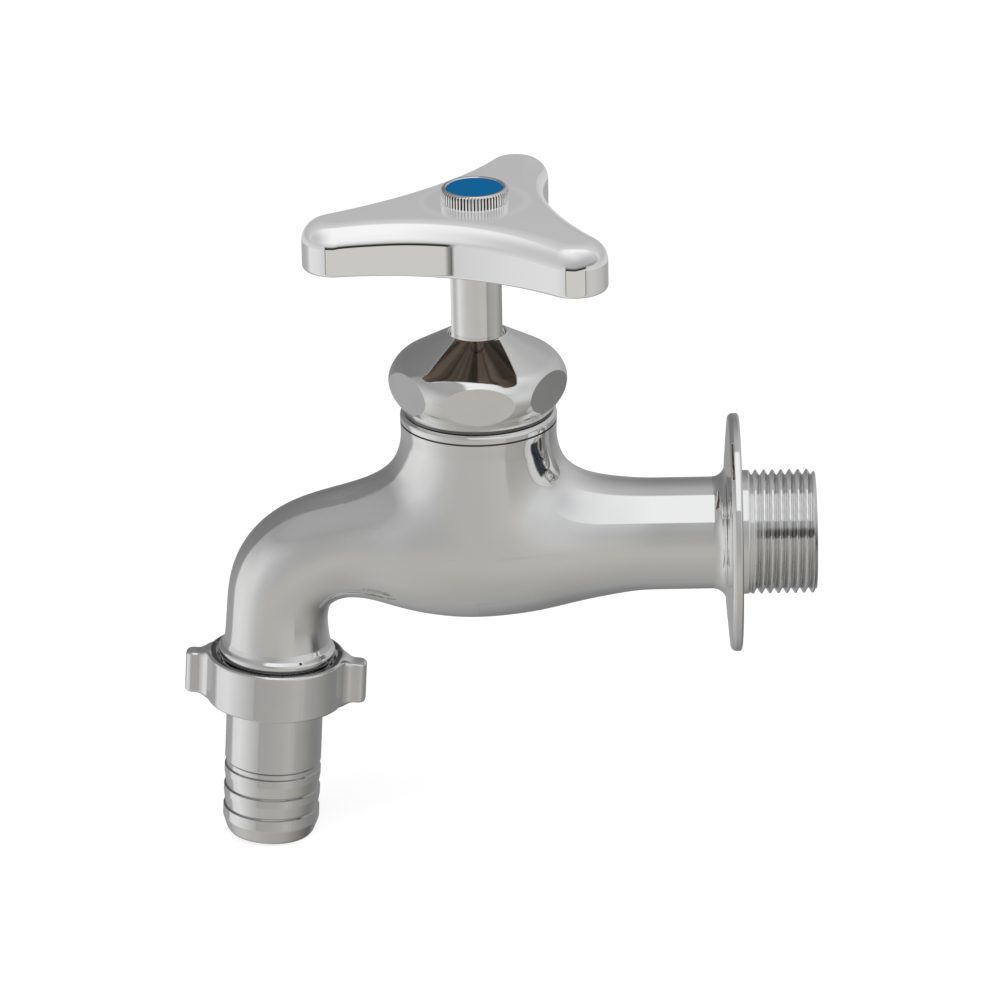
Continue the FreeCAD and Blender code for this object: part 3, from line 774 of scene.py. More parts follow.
def thread_metal(name):
    """Cut thread with painted shade in the groove bottoms, stronger on the lower half, and a painted
    dark reflection of the front of the room across the middle.
    """
    graph = metal(name, color=(0.92, 0.92, 0.92), roughness=0.09, spread=0.03, bump=0.03,
                  drift=0.03, lines=dict(strength=0.08, per_metre=14000.0, axis=(1, 0, 0)))
    coordinates = graph.coordinates()
    x, y, z = graph.split(coordinates["Object"])
    # painted shade in the groove bottoms, stronger below the middle
    groove = graph.times(
        graph.step(graph.radius(y, z), start=THREAD_R - 0.30, end=THREAD_R - 1.0, unit=MM),
        graph.step(x, start=RELIEF + 0.1, end=RELIEF + 0.5, unit=MM),
        graph.step(x, start=THREAD_LENGTH - 0.02, end=THREAD_LENGTH - 0.2, unit=MM))
    below = graph.step(z, start=3.0, end=-3.0, unit=MM)
    added_below, share_above = 0.26, 0.20
    share = graph.math("MULTIPLY_ADD", below, added_below, share_above)
    graph.blend_base(graph.times(groove, share), color=(0.30, 0.30, 0.295))
    # painted reflection: a dark brown band chosen by the tilt of the reflected ray
    tilt, = angles(graph, coordinates["Reflection"], "tilt")
    dark_reflection_band = graph.times(graph.window(tilt, rise=(6.0, 9.0), fall=(34.0, 20.0)),
                       graph.step(x, start=RELIEF - 0.4, end=RELIEF + 5.0, unit=MM))
    dark_reflection_share = 0.75
    graph.blend_base(graph.times(dark_reflection_band, dark_reflection_share), color=(0.13, 0.115, 0.10))
    return graph.owner


def handle_metal(name):
    """Polished plate mostly covered by a painted reflection of the room it sees; near the screw head
    more real mirror shows, under a brighter painted reflection.
    """
    graph = metal(name, color=(0.93, 0.93, 0.925), roughness=0.05, spread=0.02, bump=0.012,
                  grain=380.0, drift=0.02)
    coordinates = graph.coordinates()
    color = handle_room(graph, coordinates["Reflection"])
    facing_up = graph.split(graph.node("NewGeometry").outputs["Normal"])[2]
    # close to the screw head less painted reflection covers the plate, so it mirrors its knurling,
    # and the painted reflection there is brighter
    x, y, _ = graph.axis_offsets(coordinates["Object"])
    near_head = graph.times(graph.step(facing_up, start=0.80, end=0.99),
                            graph.step(graph.radius(x, y), start=12.5, end=9.5, unit=MM))
    share, share_change = 0.94, -0.44
    brightening = 0.50
    graph.overlay(
        color=color,
        strength=graph.math("MULTIPLY_ADD", near_head, brightening * GAIN, GAIN),
        share=graph.math("MULTIPLY_ADD", near_head, share_change, share))
    return graph.owner


def under_metal(name):
    """Very dark underside of the handle, with faint lighter radial streaks."""
    graph = metal(name, color=(0.10, 0.078, 0.062), roughness=0.34, spread=0.06, bump=0.06,
                  grain=700.0, drift=0.25)
    x, y, _ = graph.axis_offsets(graph.coordinates()["Object"])
    angle = graph.math("ARCTAN2", x, graph.times(y, -1.0))
    streaks = graph.noise(angle, scale=2.4, detail=1.0, dimensions="1D")
    graph.blend_base(graph.step(streaks, start=0.36, end=0.66), color=(0.27, 0.21, 0.17))
    return graph.owner


def coupling_metal(name):
    """Painted reflection of the room on the upright faces, and painted shade in a dark ring on the
    rounded mouth of the coupling nut, where it closes round the spout.
    """
    graph = metal(name, color=(0.90, 0.90, 0.895), roughness=0.09, spread=0.03, bump=0.03,
                  grain=800.0, drift=0.03)
    local_room(graph, COUPLING_ROOM, middle=-22.0, full=9.0, none=20.0, share=0.72)
    start = tuple(float(part) * MM for part in SPOUT_END)
    offset = graph.node("VectorMath", {0: graph.coordinates()["Object"], 1: start},
                        operation="SUBTRACT").outputs[0]
    depth = graph.dot(offset, DOWN_AXIS)
    length = graph.node("VectorMath", {0: offset}, operation="LENGTH").outputs["Value"]
    square = graph.math("SUBTRACT", graph.times(length, length), graph.times(depth, depth))
    radius = graph.math("SQRT", graph.math("MAXIMUM", square, 0.0))
    # painted shade on the nut's mouth round the spout
    mouth = graph.times(graph.step(radius, start=14.32, end=13.95, unit=MM),
                        graph.step(depth, start=3.0, end=2.0, unit=MM))
    mouth_shade_share = 0.9
    graph.blend_base(graph.times(mouth, mouth_shade_share), color=(0.05, 0.05, 0.05))
    return graph.owner


def nipple_metal(name):
    """Turned hose tail with a painted reflection of the room, and painted shade in dark rings where
    its steps close on themselves.
    """
    graph = metal(name, color=(0.90, 0.90, 0.89), roughness=0.08, spread=0.03, bump=0.02,
                  grain=800.0, drift=0.03,
                  lines=dict(strength=0.12, per_metre=9000.0, axis=DOWN_AXIS))
    local_room(graph, COUPLING_ROOM, middle=-23.0, full=9.0, none=20.0, share=0.72)
    along = graph.dot(graph.coordinates()["Object"], DOWN_AXIS)
    depth = graph.math("SUBTRACT", along, float(SPOUT_END @ DOWN) * MM)
    spans = [(25.2, 25.6), (26.5, 26.8), (31.0, 31.5), (35.7, 36.2)]    # depths down the axis
    fade = 0.08
    mask = None
    for top, bottom in spans:
        span = graph.window(depth, rise=(top - fade, top), fall=(bottom + fade, bottom), unit=MM)
        mask = graph.math("ADD", mask, span) if mask else span
    # painted shade at the roots of the barb steps
    step_shade_share = 0.5
    graph.blend_base(graph.times(mask, step_shade_share), color=(0.06, 0.06, 0.06))
    return graph.owner


def stem_metal(name):
    graph = metal(name, color=(0.90, 0.885, 0.865), roughness=0.14, spread=0.03, bump=0.02,
                  drift=0.03, lines=dict(strength=0.15, per_metre=12000.0, axis=(0, 0, 1)))
    # painted reflection of the room on the stem
    local_room(graph, STEM_ROOM, middle=-21.0, full=12.0, none=24.0, share=0.78)
    return graph.owner


def knurl_metal(name):
    """Knurled rim with painted shade, dark in the bottoms of the slots."""
    graph = metal(name, color=(0.86, 0.86, 0.85), roughness=0.14, spread=0.03, bump=0.03,
                  drift=0.03)
    x, y, z = graph.axis_offsets(graph.coordinates()["Object"])
    slot = graph.zigzag(graph.times(graph.math("ARCTAN2", y, x), KNURLS / TURN))
    side = graph.times(
        graph.step(graph.radius(x, y), start=HEAD_R - 0.75, end=HEAD_R - 0.5, unit=MM),
        graph.step(z, start=HEAD_TOP - 0.3, end=HEAD_TOP - 0.6, unit=MM))
    # painted shade in the slot bottoms
    graph.blend_base(graph.times(graph.step(slot, start=0.45, end=0.75), side),
                     color=(0.03, 0.03, 0.03))
    return graph.owner


def index_blue(name):
    graph = soft(name, color=(linear(2), linear(93), linear(146)), roughness=0.5, bump=0.03,
                 grain=900.0, spread=0.06)
    graph.base.inputs["Specular IOR Level"].default_value = 0.04
    return graph.owner


CHROME = body_metal("chrome_cast_polished")
SCREW = screw_metal("chrome_screw")
# painted shade: dark metal laid on bores, grooves and gaps where shade falls
GAP_SHADE = metal("painted_gap_shade", color=(0.20, 0.20, 0.20), roughness=0.22, spread=0.05, bump=0.03,
            drift=0.2).owner
TURNED = metal("chrome_turned", color=(0.92, 0.92, 0.915), roughness=0.055, spread=0.02,
               bump=0.015, grain=700.0, drift=0.02,
               lines=dict(strength=0.05, per_metre=14000.0, axis=(0, 0, 1))).owner
NUT_FACE = nut_flat_metal("chrome_nut_flat")
THREAD = thread_metal("chrome_thread")
HANDLE = handle_metal("chrome_handle")
UNDERSIDE = under_metal("handle_underside")
COUPLING = coupling_metal("chrome_coupling")
NIPPLE = nipple_metal("chrome_nipple")
STEM = stem_metal("satin_stem")
KNURL = knurl_metal("chrome_knurl")
BRASS = metal("turned_brass", color=(0.78, 0.60, 0.30), roughness=0.22, spread=0.05, bump=0.05,
              drift=0.1, lines=dict(strength=0.2, per_metre=9000.0, axis=(0, 0, 1))).owner
STEEL = metal("plain_steel", color=(0.62, 0.62, 0.62), roughness=0.3, spread=0.06, bump=0.06,
              drift=0.1).owner
RUBBER = soft("black_rubber", color=(0.018, 0.018, 0.018), roughness=0.55, bump=0.25,
              grain=1500.0, spread=0.3).owner
BLUE = index_blue("index_blue")

# the CAD pieces take the plain material of their slot
SLOT_MATERIALS = {"chrome_cast": CHROME, "chrome_turned": TURNED, "satin_stem": STEM,
                  "brass": BRASS, "steel": STEEL, "rubber": RUBBER, "index_blue": BLUE}
slots = {part["node"]: part["material_slot"] for part in frame["record"]["subparts"]}
for node, piece in frame["nodes"].items():
    piece.data.materials.clear()
    piece.data.materials.append(SLOT_MATERIALS[slots[node]])
    piece.data.polygons.foreach_set("use_smooth", np.zeros(len(piece.data.polygons), bool))

# ------------------------------------------------------------- body casting
# centreline samples, smoothed a little so that reflections run evenly
knots = np.concatenate([[0], np.cumsum(np.hypot(*np.diff(SECTIONS[:, :2], axis=0).T))])
samples = np.linspace(0, knots[-1], 1400)
LINE_X, LINE_Z, LINE_R = (blur(spline(knots, SECTIONS[:, k], samples), half_width=60, spread=22.0)
                          for k in range(3))
STEP_X, STEP_Z = np.diff(LINE_X), np.diff(LINE_Z)
STEP_SQUARE = STEP_X ** 2 + STEP_Z ** 2
LINE_LENGTH = np.concatenate([[0], np.cumsum(np.hypot(STEP_X, STEP_Z))])
TURN_BACK = int(np.argmin(LINE_X))      # sample farthest from the wall
NECK_BLEND = 15.0


def barrel_distance(points):
    """Distance to the swept barrel."""
    result = np.empty(len(points))
    batch, stride = 20000, 4
    for first in range(0, len(points), batch):
        chunk = points[first:first + batch]
        x, y, z = chunk.T
        square = ((LINE_X[::stride] - x[:, None]) ** 2 + (LINE_Z[::stride] - z[:, None]) ** 2)
        nearest = square.argmin(1) * stride
        best = np.full(len(chunk), 1e18)
        radius = np.zeros(len(chunk))
        for offset in range(-stride, stride):
            j = np.clip(nearest + offset, 0, len(STEP_X) - 1)
            from_x, from_z = x - LINE_X[j], z - LINE_Z[j]
            t = np.clip((from_x * STEP_X[j] + from_z * STEP_Z[j]) / STEP_SQUARE[j], 0, 1)
            dx = from_x - t * STEP_X[j]
            dz = from_z - t * STEP_Z[j]
            square = dx * dx + dz * dz
            closer = square < best
            best[closer] = square[closer]
            radius[closer] = (LINE_R[j] + t * (LINE_R[j + 1] - LINE_R[j]))[closer]
        result[first:first + batch] = np.sqrt(best + y ** 2) - radius
    return result


def casting(points):
    """Barrel and neck run together.

    The blend is full where they cross squarely and fades where they run side by side.
    """
    x, y, z = points.T
    barrel = barrel_distance(points)
    from_axis = np.hypot(x - HANDLE_X, y)
    neck = from_axis - (NECK_R + 0.30 * smoothstep(22.5, 27.4, z))
    # the centreline is all but straight under the neck, so its sideways share of the outward
    # direction is enough
    above_line = z - np.interp(-x, -LINE_X[:TURN_BACK], LINE_Z[:TURN_BACK])
    alike = y ** 2 / (np.maximum(from_axis, 1e-6)
                      * np.maximum(np.hypot(y, above_line), 1e-6))
    up = smoothstep(-6.0, 2.0, z)
    blend = np.maximum(NECK_BLEND * np.sqrt(np.clip(1.0 - alike, 0.0, 1.0)) * up, 0.02)
    # no neck below the barrel's middle
    neck = np.where(z < -6.0, 1e3, neck + 40.0 * (1 - up))
    overlap = np.maximum(blend - np.abs(barrel - neck), 0) / blend
    return np.minimum(barrel, neck) - overlap ** 3 * blend / 6.0


def sweep(first, last, step, segments):
    """Barrel skin between two centreline samples, with exact normals."""
    index = np.unique(np.concatenate([np.arange(first, last, step), [last]]))
    tangent_x, tangent_z = np.gradient(LINE_X, LINE_LENGTH), np.gradient(LINE_Z, LINE_LENGTH)
    length = np.hypot(tangent_x, tangent_z)
    tangent_x, tangent_z = tangent_x / length, tangent_z / length
    heading = np.unwrap(np.arctan2(tangent_z, tangent_x))

    def smooth_rate(values):
        rate = np.pad(np.gradient(values, LINE_LENGTH), 10, "edge")
        return np.convolve(rate, np.ones(21) / 21, "valid")[index][:, None]

    curvature, flare = smooth_rate(heading), smooth_rate(LINE_R)
    angle = np.linspace(0, 2 * np.pi, segments, endpoint=False)
    cos, sin = np.cos(angle), np.sin(angle)
    along_x, along_z = tangent_x[index][:, None], tangent_z[index][:, None]
    # side direction in the XZ plane is the tangent turned a quarter
    side_x, side_z = -along_z, along_x
    radius = LINE_R[index][:, None]
    verts = np.stack([LINE_X[index][:, None] + radius * side_x * cos,
                      radius * sin,
                      LINE_Z[index][:, None] + radius * side_z * cos], -1)
    slope = -flare / np.maximum(1.0 - curvature * radius * cos, 0.05)
    normals = np.stack([side_x * cos + slope * along_x,
                        sin + 0 * slope,
                        side_z * cos + slope * along_z], -1)
    return verts.reshape(-1, 3), grid_faces(len(index), segments), normals.reshape(-1, 3)


def cut_at(i, sign):
    """Plane square to the centreline at sample i."""
    along = np.array([LINE_X[i + 1] - LINE_X[i - 1], 0, LINE_Z[i + 1] - LINE_Z[i - 1]])
    along /= np.linalg.norm(along)
    return (LINE_X[i], 0, LINE_Z[i]), tuple(along * sign)


def body():
    pipe_start = int(np.argmin(np.abs(LINE_X + 7.0)))
    pipe_end = int(np.argmin(np.abs(LINE_X + 27.0)))
    # on the level run only, not where the spout has turned down
    spout_start = int(np.argmin(np.abs(LINE_X + 84.5) + 1e3 * (LINE_Z < -3)))
    spout_end = int(np.argmin((LINE_X - BARREL_END[0]) ** 2 + (LINE_Z - BARREL_END[2]) ** 2))
    neck_top = ((0, 0, 26.8), (0, 0, 1))
    verts, faces = surface_nets(casting, low=(-90.0, -20.5, -20.5), high=(-24.0, 20.5, 30.0),
                                cell=0.7)
    verts, faces = trim(verts, faces, [cut_at(pipe_end, -1), neck_top, cut_at(spout_start, 1)])
    put_mixed("body_casting", verts, faces, field_normals(casting, verts), CHROME,
              body="tap_body", replaces=("body",))
    put("body_inlet_pipe", *sweep(pipe_start, pipe_end, step=3, segments=256), CHROME)
    put("body_spout", *sweep(spout_start, spout_end, step=2, segments=288), CHROME)


body()

# wall flange with trumpet root
lathe("body_flange",
      [(11.90, -7.4), (PIPE_R, -7.0), (PIPE_R + 0.02, -3.2, 2.9), (17.0, -3.05, 8.0),
       (24.9, -2.35, 0.9), (FLANGE_R, -1.5, 0.6), (FLANGE_R, -0.35, 0.3), (24.9, 0.0, 0.15),
       (13.0, 0.0)],
      about_pipe, CHROME, arc=14)


# -------------------------------------------------------------------- inlet
def thread_radius(x, angle):
    turns = (x - (RELIEF + 0.95)) / PITCH + 0.5 + angle / (2 * np.pi)
    from_bottom = np.abs((turns % 1.0) - 0.5) * PITCH
    height = np.clip((from_bottom - 0.09) / 0.66, 0, 1)
    depth = THREAD_DEPTH * smoothstep(RELIEF - 0.5, RELIEF + 0.9, x)
    end_chamfer = THREAD_R - 0.75 + (THREAD_LENGTH - x)
    return np.minimum(THREAD_R - depth * (1 - height), end_chamfer)


def inlet_thread():
    """Helical thread as a fine grid."""
    segments = 288
    rows_per_pitch = 28
    stations = np.concatenate([
        np.array([-0.05, 0.3, 0.9, 1.4]),
        np.arange(1.6, THREAD_LENGTH + 1e-6, PITCH / rows_per_pitch),
        [THREAD_LENGTH]])
    x, angle = np.meshgrid(stations, np.linspace(0, 2 * np.pi, segments, endpoint=False),
                           indexing="ij")
    e = 0.01
    radius = thread_radius(x, angle)
    slope_x = (thread_radius(x + e, angle) - thread_radius(x - e, angle)) / (2 * e)
    slope_angle = (thread_radius(x, angle + e) - thread_radius(x, angle - e)) / (2 * e)
    cos, sin = np.cos(angle), np.sin(angle)
    verts = np.stack([x, radius * cos, radius * sin], -1)
    normals = np.stack([-slope_x, cos + slope_angle / radius * sin,
                        sin - slope_angle / radius * cos], -1)
    put("inlet_thread", verts.reshape(-1, 3), grid_faces(len(stations), segments),
        normals.reshape(-1, 3), THREAD)


inlet_thread()
lathe("inlet_bore",
      [(THREAD_R - 0.76, THREAD_LENGTH), (8.0, THREAD_LENGTH, 0.3),
       (BORE_R, THREAD_LENGTH - 0.4), (BORE_R, 6.0)],
      about_pipe, THREAD, segments=96)
# deep bore in painted shade
lathe("inlet_bore_deep", [(BORE_R, 6.0), (BORE_R, -24.0), (6.0, -30.0), (0.01, -31.0)],
      about_pipe, GAP_SHADE, segments=96)

# ------------------------------------------------------------- neck collar
# rounded collar, shoulder and the spigot inside the nut
lathe("neck_collar",
      [(16.64, 27.50), (16.64, 28.72, 0.75), (15.95, SHOULDER_Z, 0.12), (13.4, SHOULDER_Z),
       (13.4, 37.0), (12.9, 37.5), (10.3, 37.5)],
      about_handle, CHROME, arc=12)
lathe("neck_rim", [(16.52, 26.6), (COLLAR_R, 26.82, 0.05), (COLLAR_R, 27.06)],
      about_handle, CHROME, arc=6)
# groove in painted shade, a dark line round the collar
lathe("neck_groove", [(COLLAR_R, 27.06), (16.3, 27.10), (16.3, 27.40), (16.64, 27.50)],
      about_handle, GAP_SHADE)

# --------------------------------------------------------------- spout end
# flare line and bead
lathe("spout_bead",
      [(11.15, 3.1), (11.30, 2.6, 0.3), (11.62, 1.75, 1.2), (11.74, 1.50), (11.86, 1.36),
       (12.3, 0.95, 0.3), (BEAD_R, 0.55, 0.5), (BEAD_R, -0.55, 0.8), (12.2, -0.95)],
      about_spout, CHROME, arc=10)
# narrow band under the bead in painted shade
lathe("spout_tail", [(12.2, -0.95), (11.9, -1.15, 0.3), (SPIGOT_R, -1.25), (SPIGOT_R, -2.1)],
      about_spout, GAP_SHADE, arc=10)
# thread spigot and bore
lathe("spout_spigot",
      [(SPIGOT_R, -2.1), (SPIGOT_R, -6.5, 0.2), (11.0, -7.0), (7.6, -7.0, 0.1), (7.5, -6.5),
       (7.5, 6.0), (6.6, 12.0), (0.01, 13.0)],
      about_spout, SCREW, arc=10)


# ----------------------------------------------------------------- cap nut
def nut_profile():
    """Dense, lightly smoothed (radius, z) points of the nut's round side."""
    bottom, top = NUT_BULGE[0], NUT_BULGE[-1]
    low = np.linspace(0, 1, 12)[:, None] * (bottom - NUT_FOOT) + NUT_FOOT
    high = np.linspace(0, 1, 60)[:, None] * (NUT_TOP - top) + top
    lengths = np.linalg.norm(np.diff(NUT_BULGE, axis=0), axis=1)
    knots = np.concatenate([[0], np.cumsum(lengths)])
    where = np.linspace(0, knots[-1], 90)
    middle = np.stack([spline(knots, NUT_BULGE[:, k], where) for k in range(2)], 1)
    line = np.concatenate([low[:-1], middle, high[1:]])
    run = np.concatenate([[0], np.cumsum(np.linalg.norm(np.diff(line, axis=0), axis=1))])
    even = np.linspace(0, run[-1], 1200)
    return np.stack([blur(np.interp(even, run, line[:, k]), half_width=40, spread=16.0)
                     for k in range(2)], 1)


def gland_nut(profile):
    """Round nut cut by six flats; grid rows follow the upper and lower edges of the flats."""
    segments = 480
    rows_below, rows_flat, rows_above = 40, 24, 80
    first_flat, sixth = math.radians(30), math.pi / 3
    widest = profile[:, 0].argmax()
    lower, upper = profile[:widest + 1], profile[widest:]

    def radius_at(z):
        return np.interp(z, profile[:, 1], profile[:, 0])

    angle = np.linspace(0, 2 * np.pi, segments, endpoint=False)
    off_flat = (angle - first_flat + math.pi / 6) % sixth - math.pi / 6
    flat_radius = NUT_FLAT / np.cos(off_flat)
    cut = flat_radius < profile[widest, 0]
    widest_z = profile[widest, 1]
    flat_low = np.where(cut, np.interp(flat_radius, lower[:, 0], lower[:, 1]), widest_z)
    flat_high = np.where(cut, np.interp(-flat_radius, -upper[:, 0], upper[:, 1]), widest_z)
    foot, top = profile[0, 1], profile[-1, 1]
    rows = [foot + (flat_low - foot) * (1 - (1 - k / rows_below) ** 1.2)
            for k in range(rows_below + 1)]
    rows += [flat_low + (flat_high - flat_low) * k / rows_flat for k in range(1, rows_flat + 1)]
    rows += [flat_high + (top - flat_high) * (k / rows_above) ** 1.3
             for k in range(1, rows_above + 1)]

    z = np.array(rows)
    radius = np.minimum(radius_at(z), flat_radius[None, :])
    around = np.broadcast_to(angle, z.shape)
    verts = np.stack([radius * np.cos(around), radius * np.sin(around), z], -1).reshape(-1, 3)
    slope = (radius_at(z + 0.05) - radius_at(z - 0.05)) / 0.1
    round_normals = np.stack([np.cos(around), np.sin(around), -slope], -1)
    round_normals /= np.linalg.norm(round_normals, axis=-1, keepdims=True)
    facing = np.round((around - first_flat) / sixth) * sixth + first_flat
    flat_normals = np.stack([np.cos(facing), np.sin(facing), np.zeros_like(facing)], -1)

    faces = grid_faces(len(rows), segments)
    row = np.repeat(np.arange(len(rows) - 1), segments)
    quads = verts[faces]
    area = np.linalg.norm(np.cross(quads[:, 2] - quads[:, 0], quads[:, 3] - quads[:, 1]), axis=1)
    keep = area > 1e-7
    faces, row = faces[keep], row[keep]
    flat = (row >= rows_below) & (row < rows_below + rows_flat)
    normals = np.where(flat[:, None, None], flat_normals.reshape(-1, 3)[faces],
                       round_normals.reshape(-1, 3)[faces])
    mesh = new_mesh("gland_nut", verts + np.array([HANDLE_X, 0, 0]), faces.tolist(),
                    TURNED, NUT_FACE)
    mesh.normals_split_custom_set(normals.reshape(-1, 3).tolist())
    mesh.polygons.foreach_set("material_index", flat.astype(np.int32))
    add_object("gland_nut", mesh, "tap_body", ("cap_nut",))


NUT_PROFILE = nut_profile()
gland_nut(NUT_PROFILE)
lathe("gland_nut_lip",
      [(NUT_PROFILE[-1, 0] + 0.02, NUT_PROFILE[-1, 1] - 0.012), (6.25, 46.86, 0.15),
       (NUT_HOLE_R, 46.65, 0.1), (NUT_HOLE_R, 44.9), (5.56, 44.6), (5.56, 43.3)],
      about_handle, CHROME, segments=192, slot="chrome_turned")
# foot of the nut in painted shade, a dark line under it
lathe("gland_nut_foot",
      [(13.6, SHOULDER_Z + 0.02), (15.6, SHOULDER_Z + 0.02), (NUT_FOOT[0], 29.5, 0.1),
       (*NUT_FOOT, 0.1), (NUT_PROFILE[0, 0] + 0.05, NUT_PROFILE[0, 1] + 0.07)],
      about_handle, GAP_SHADE, slot="chrome_turned")

# -------------------------------------------------------------------- stem
lathe("stem",
      [(3.0, 16.4), (7.4, 16.4), (8.02, 17.0), (8.02, 29.4), (7.4, 30.0), (STEM_R, 30.0),
       (STEM_R, 66.4, 0.3), (4.4, 66.4), (4.4, 73.4, 0.3), (2.1, 73.4), (2.1, 61.0), (0.01, 61.0)],
      about_handle, STEM, segments=192, body="spindle_set", slot="satin_stem",
      replaces=("spindle",))


# ------------------------------------------------------------------ handle
def polar(radius, angle):
    return np.array([math.cos(angle), math.sin(angle)]) * radius


def handle_outline(steps):
    """Points and outward normals of the three-lobed outline, with `steps` points to each arc."""
    reach = TIP_R - WAIST_R
    hollow_center_r = (TIP_CENTER_R ** 2 - reach * reach) / (2 * reach + TIP_CENTER_R)
    hollow_r = hollow_center_r - WAIST_R
    points, normals = [], []

    def arc(center, radius, start, end, middle, side):
        """Arc between the directions of two points, on the side of the middle angle."""
        limits = []
        for target in (start, end):
            heading = math.atan2(target[1] - center[1], target[0] - center[0])
            limits.append(heading + TURN * round((middle - heading) / TURN))
        angle = np.linspace(*limits, steps, endpoint=False)
        circle = np.stack([np.cos(angle), np.sin(angle)], 1)
        points.append(center + radius * circle)
        normals.append(side * circle)

    for j in range(3):
        tip_angle = math.radians(FIRST_TIP + 120 * j)
        after_angle = tip_angle + math.pi / 3
        tip = polar(TIP_CENTER_R, tip_angle)
        next_tip = polar(TIP_CENTER_R, tip_angle + 2 * math.pi / 3)
        before = polar(hollow_center_r, tip_angle - math.pi / 3)
        after = polar(hollow_center_r, after_angle)
        arc(tip, TIP_R, before, after, tip_angle, side=1)
        arc(after, hollow_r, tip, next_tip, after_angle + math.pi, side=-1)
    return np.concatenate(points), np.concatenate(normals)


def handle():
    edge, outward = handle_outline(120)
    count = len(edge)
    dome_r = DOME_REACH ** 2 / (2 * DOME_DROP)

    def dome_height(flat):
        return HANDLE_TOP - (dome_r - np.sqrt(dome_r * dome_r - (flat ** 2).sum(1)))

    # flat underside, from the outline in to a circle round the hub
    hub = edge / np.linalg.norm(edge, axis=1)[:, None]
    hub_r = 6.3
    under = []
    for t in np.linspace(0.0, 1.0, 24):
        flat = (edge - outward * BOTTOM_ROUND) * (1 - t) + hub * hub_r * t
        under.append(np.column_stack([flat, np.full(count, HANDLE_BOTTOM)]))
    verts = np.concatenate(under)
    normals = np.tile([0, 0, -1.0], (len(verts), 1))
    put("handle_underface", *about_handle(verts, grid_faces(24, count)), normals,
        UNDERSIDE, body="spindle_set")

    # domed top, rounded upper edge, rounded lower edge
    rings, ring_normals = [], []
    top_edge = edge - outward * TOP_ROUND
    for t in np.linspace(0.16, 1.0, 22):
        flat = top_edge * t
        rings.append(np.column_stack([flat, dome_height(flat)]))
        ring_normals.append(np.column_stack([flat / dome_r, np.ones(count)]))
    for rounding, middle, degrees in (
            (TOP_ROUND, dome_height(top_edge) - TOP_ROUND, np.linspace(90, 0, 22)),
            (BOTTOM_ROUND, np.full(count, HANDLE_BOTTOM + BOTTOM_ROUND), np.linspace(0, -90, 9))):
        for a in np.radians(degrees):
            flat = edge - outward * (rounding * (1 - math.cos(a)))
            rings.append(np.column_stack([flat, middle + rounding * math.sin(a)]))
            ring_normals.append(np.column_stack([outward * math.cos(a),
                                                 np.full(count, math.sin(a))]))
    put("handle_casting", *about_handle(np.concatenate(rings), grid_faces(len(rings), count)),
        np.concatenate(ring_normals), HANDLE, body="spindle_set", replaces=("handle",))


handle()
lathe("handle_seat", [(7.3, HANDLE_TOP - 0.045), (2.2, HANDLE_TOP - 0.045)],
      about_handle, HANDLE, segments=96, body="spindle_set")
lathe("handle_hub",
      [(6.4, HANDLE_BOTTOM + 0.01), (5.6, HANDLE_BOTTOM + 0.01, 0.1),
       (5.49, HANDLE_BOTTOM + 0.2), (5.49, 66.3)],
      about_handle, UNDERSIDE, segments=96, body="spindle_set")


# ------------------------------------------------- handle screw and its disc
def screw_head():
    """Knurled head with a shallow recess for the disc."""
    recess_r = DISC_R + 0.03
    points, normals = rounded_profile(
        [(0.01, HANDLE_TOP - 0.06), (HEAD_R - 0.3, HANDLE_TOP - 0.06),
         (HEAD_R, HANDLE_TOP + 0.25, 0.1), (HEAD_R, HANDLE_TOP + 0.6), (HEAD_R, HANDLE_TOP + 1.6),
         (HEAD_R, HEAD_TOP - 0.62, 0.2), (HEAD_R - 0.5, HEAD_TOP, 0.25),
         (DISC_R + 0.28, HEAD_TOP, 0.12), (recess_r, HEAD_TOP - 0.25),
         (recess_r, HEAD_TOP - 0.74), (0.01, HEAD_TOP - 0.74)],
        closed=False, arc=8)
    verts, faces, normals = spin(points, normals, KNURLS * 12)
    x, y, z = verts.T
    angle = np.arctan2(y, x)
    side = (smoothstep(HEAD_R - 0.55, HEAD_R - 0.05, np.hypot(x, y))
            * smoothstep(HANDLE_TOP - 0.06, HANDLE_TOP + 0.3, z)
            * (1 - smoothstep(HEAD_TOP - 0.45, HEAD_TOP - 0.1, z)))
    phase = (angle * KNURLS / (2 * np.pi)) % 1.0
    depth = KNURL_DEPTH * side * np.abs(phase - 0.5) * 2
    verts[:, 0] -= depth * np.cos(angle)
    verts[:, 1] -= depth * np.sin(angle)
    slope = np.where(phase < 0.5, 1.0, -1.0) * side * KNURL_DEPTH * 2 * KNURLS / TURN / HEAD_R
    normals[:, 0] += np.sin(angle) * slope * np.hypot(normals[:, 0], normals[:, 1])
    normals[:, 1] -= np.cos(angle) * slope * np.hypot(normals[:, 0], normals[:, 1])
    verts, normals = about_handle(verts, normals)
    put("handle_screw_head", verts, faces, normals, KNURL, body="spindle_set",
        slot="chrome_turned", replaces=("handle_screw",))


screw_head()
lathe("handle_screw_shank",
      [(1.98, HANDLE_TOP - 0.1), (1.98, 62.0, 0.2), (1.5, 61.6), (0.01, 61.6)],
      about_handle, KNURL, segments=48, body="spindle_set", slot="chrome_turned")
lathe("index_button",
      [(0.01, HEAD_TOP - 0.10), (DISC_R - 0.12, HEAD_TOP - 0.12, 0.1),
       (DISC_R, HEAD_TOP - 0.22, 0.1), (DISC_R, HEAD_TOP - 0.72), (0.01, HEAD_TOP - 0.72)],
      about_handle, BLUE, segments=128, body="spindle_set", slot="index_blue",
      replaces=("index_disc",))


# ------------------------------------------------------------- coupling nut
def rounded_both(a, b, rounding):
    """Inside both distances, with a rounded corner; the distances come in grown by the rounding."""
    return np.minimum(np.maximum(a, b), 0) + np.hypot(np.maximum(a, 0), np.maximum(b, 0)) - rounding


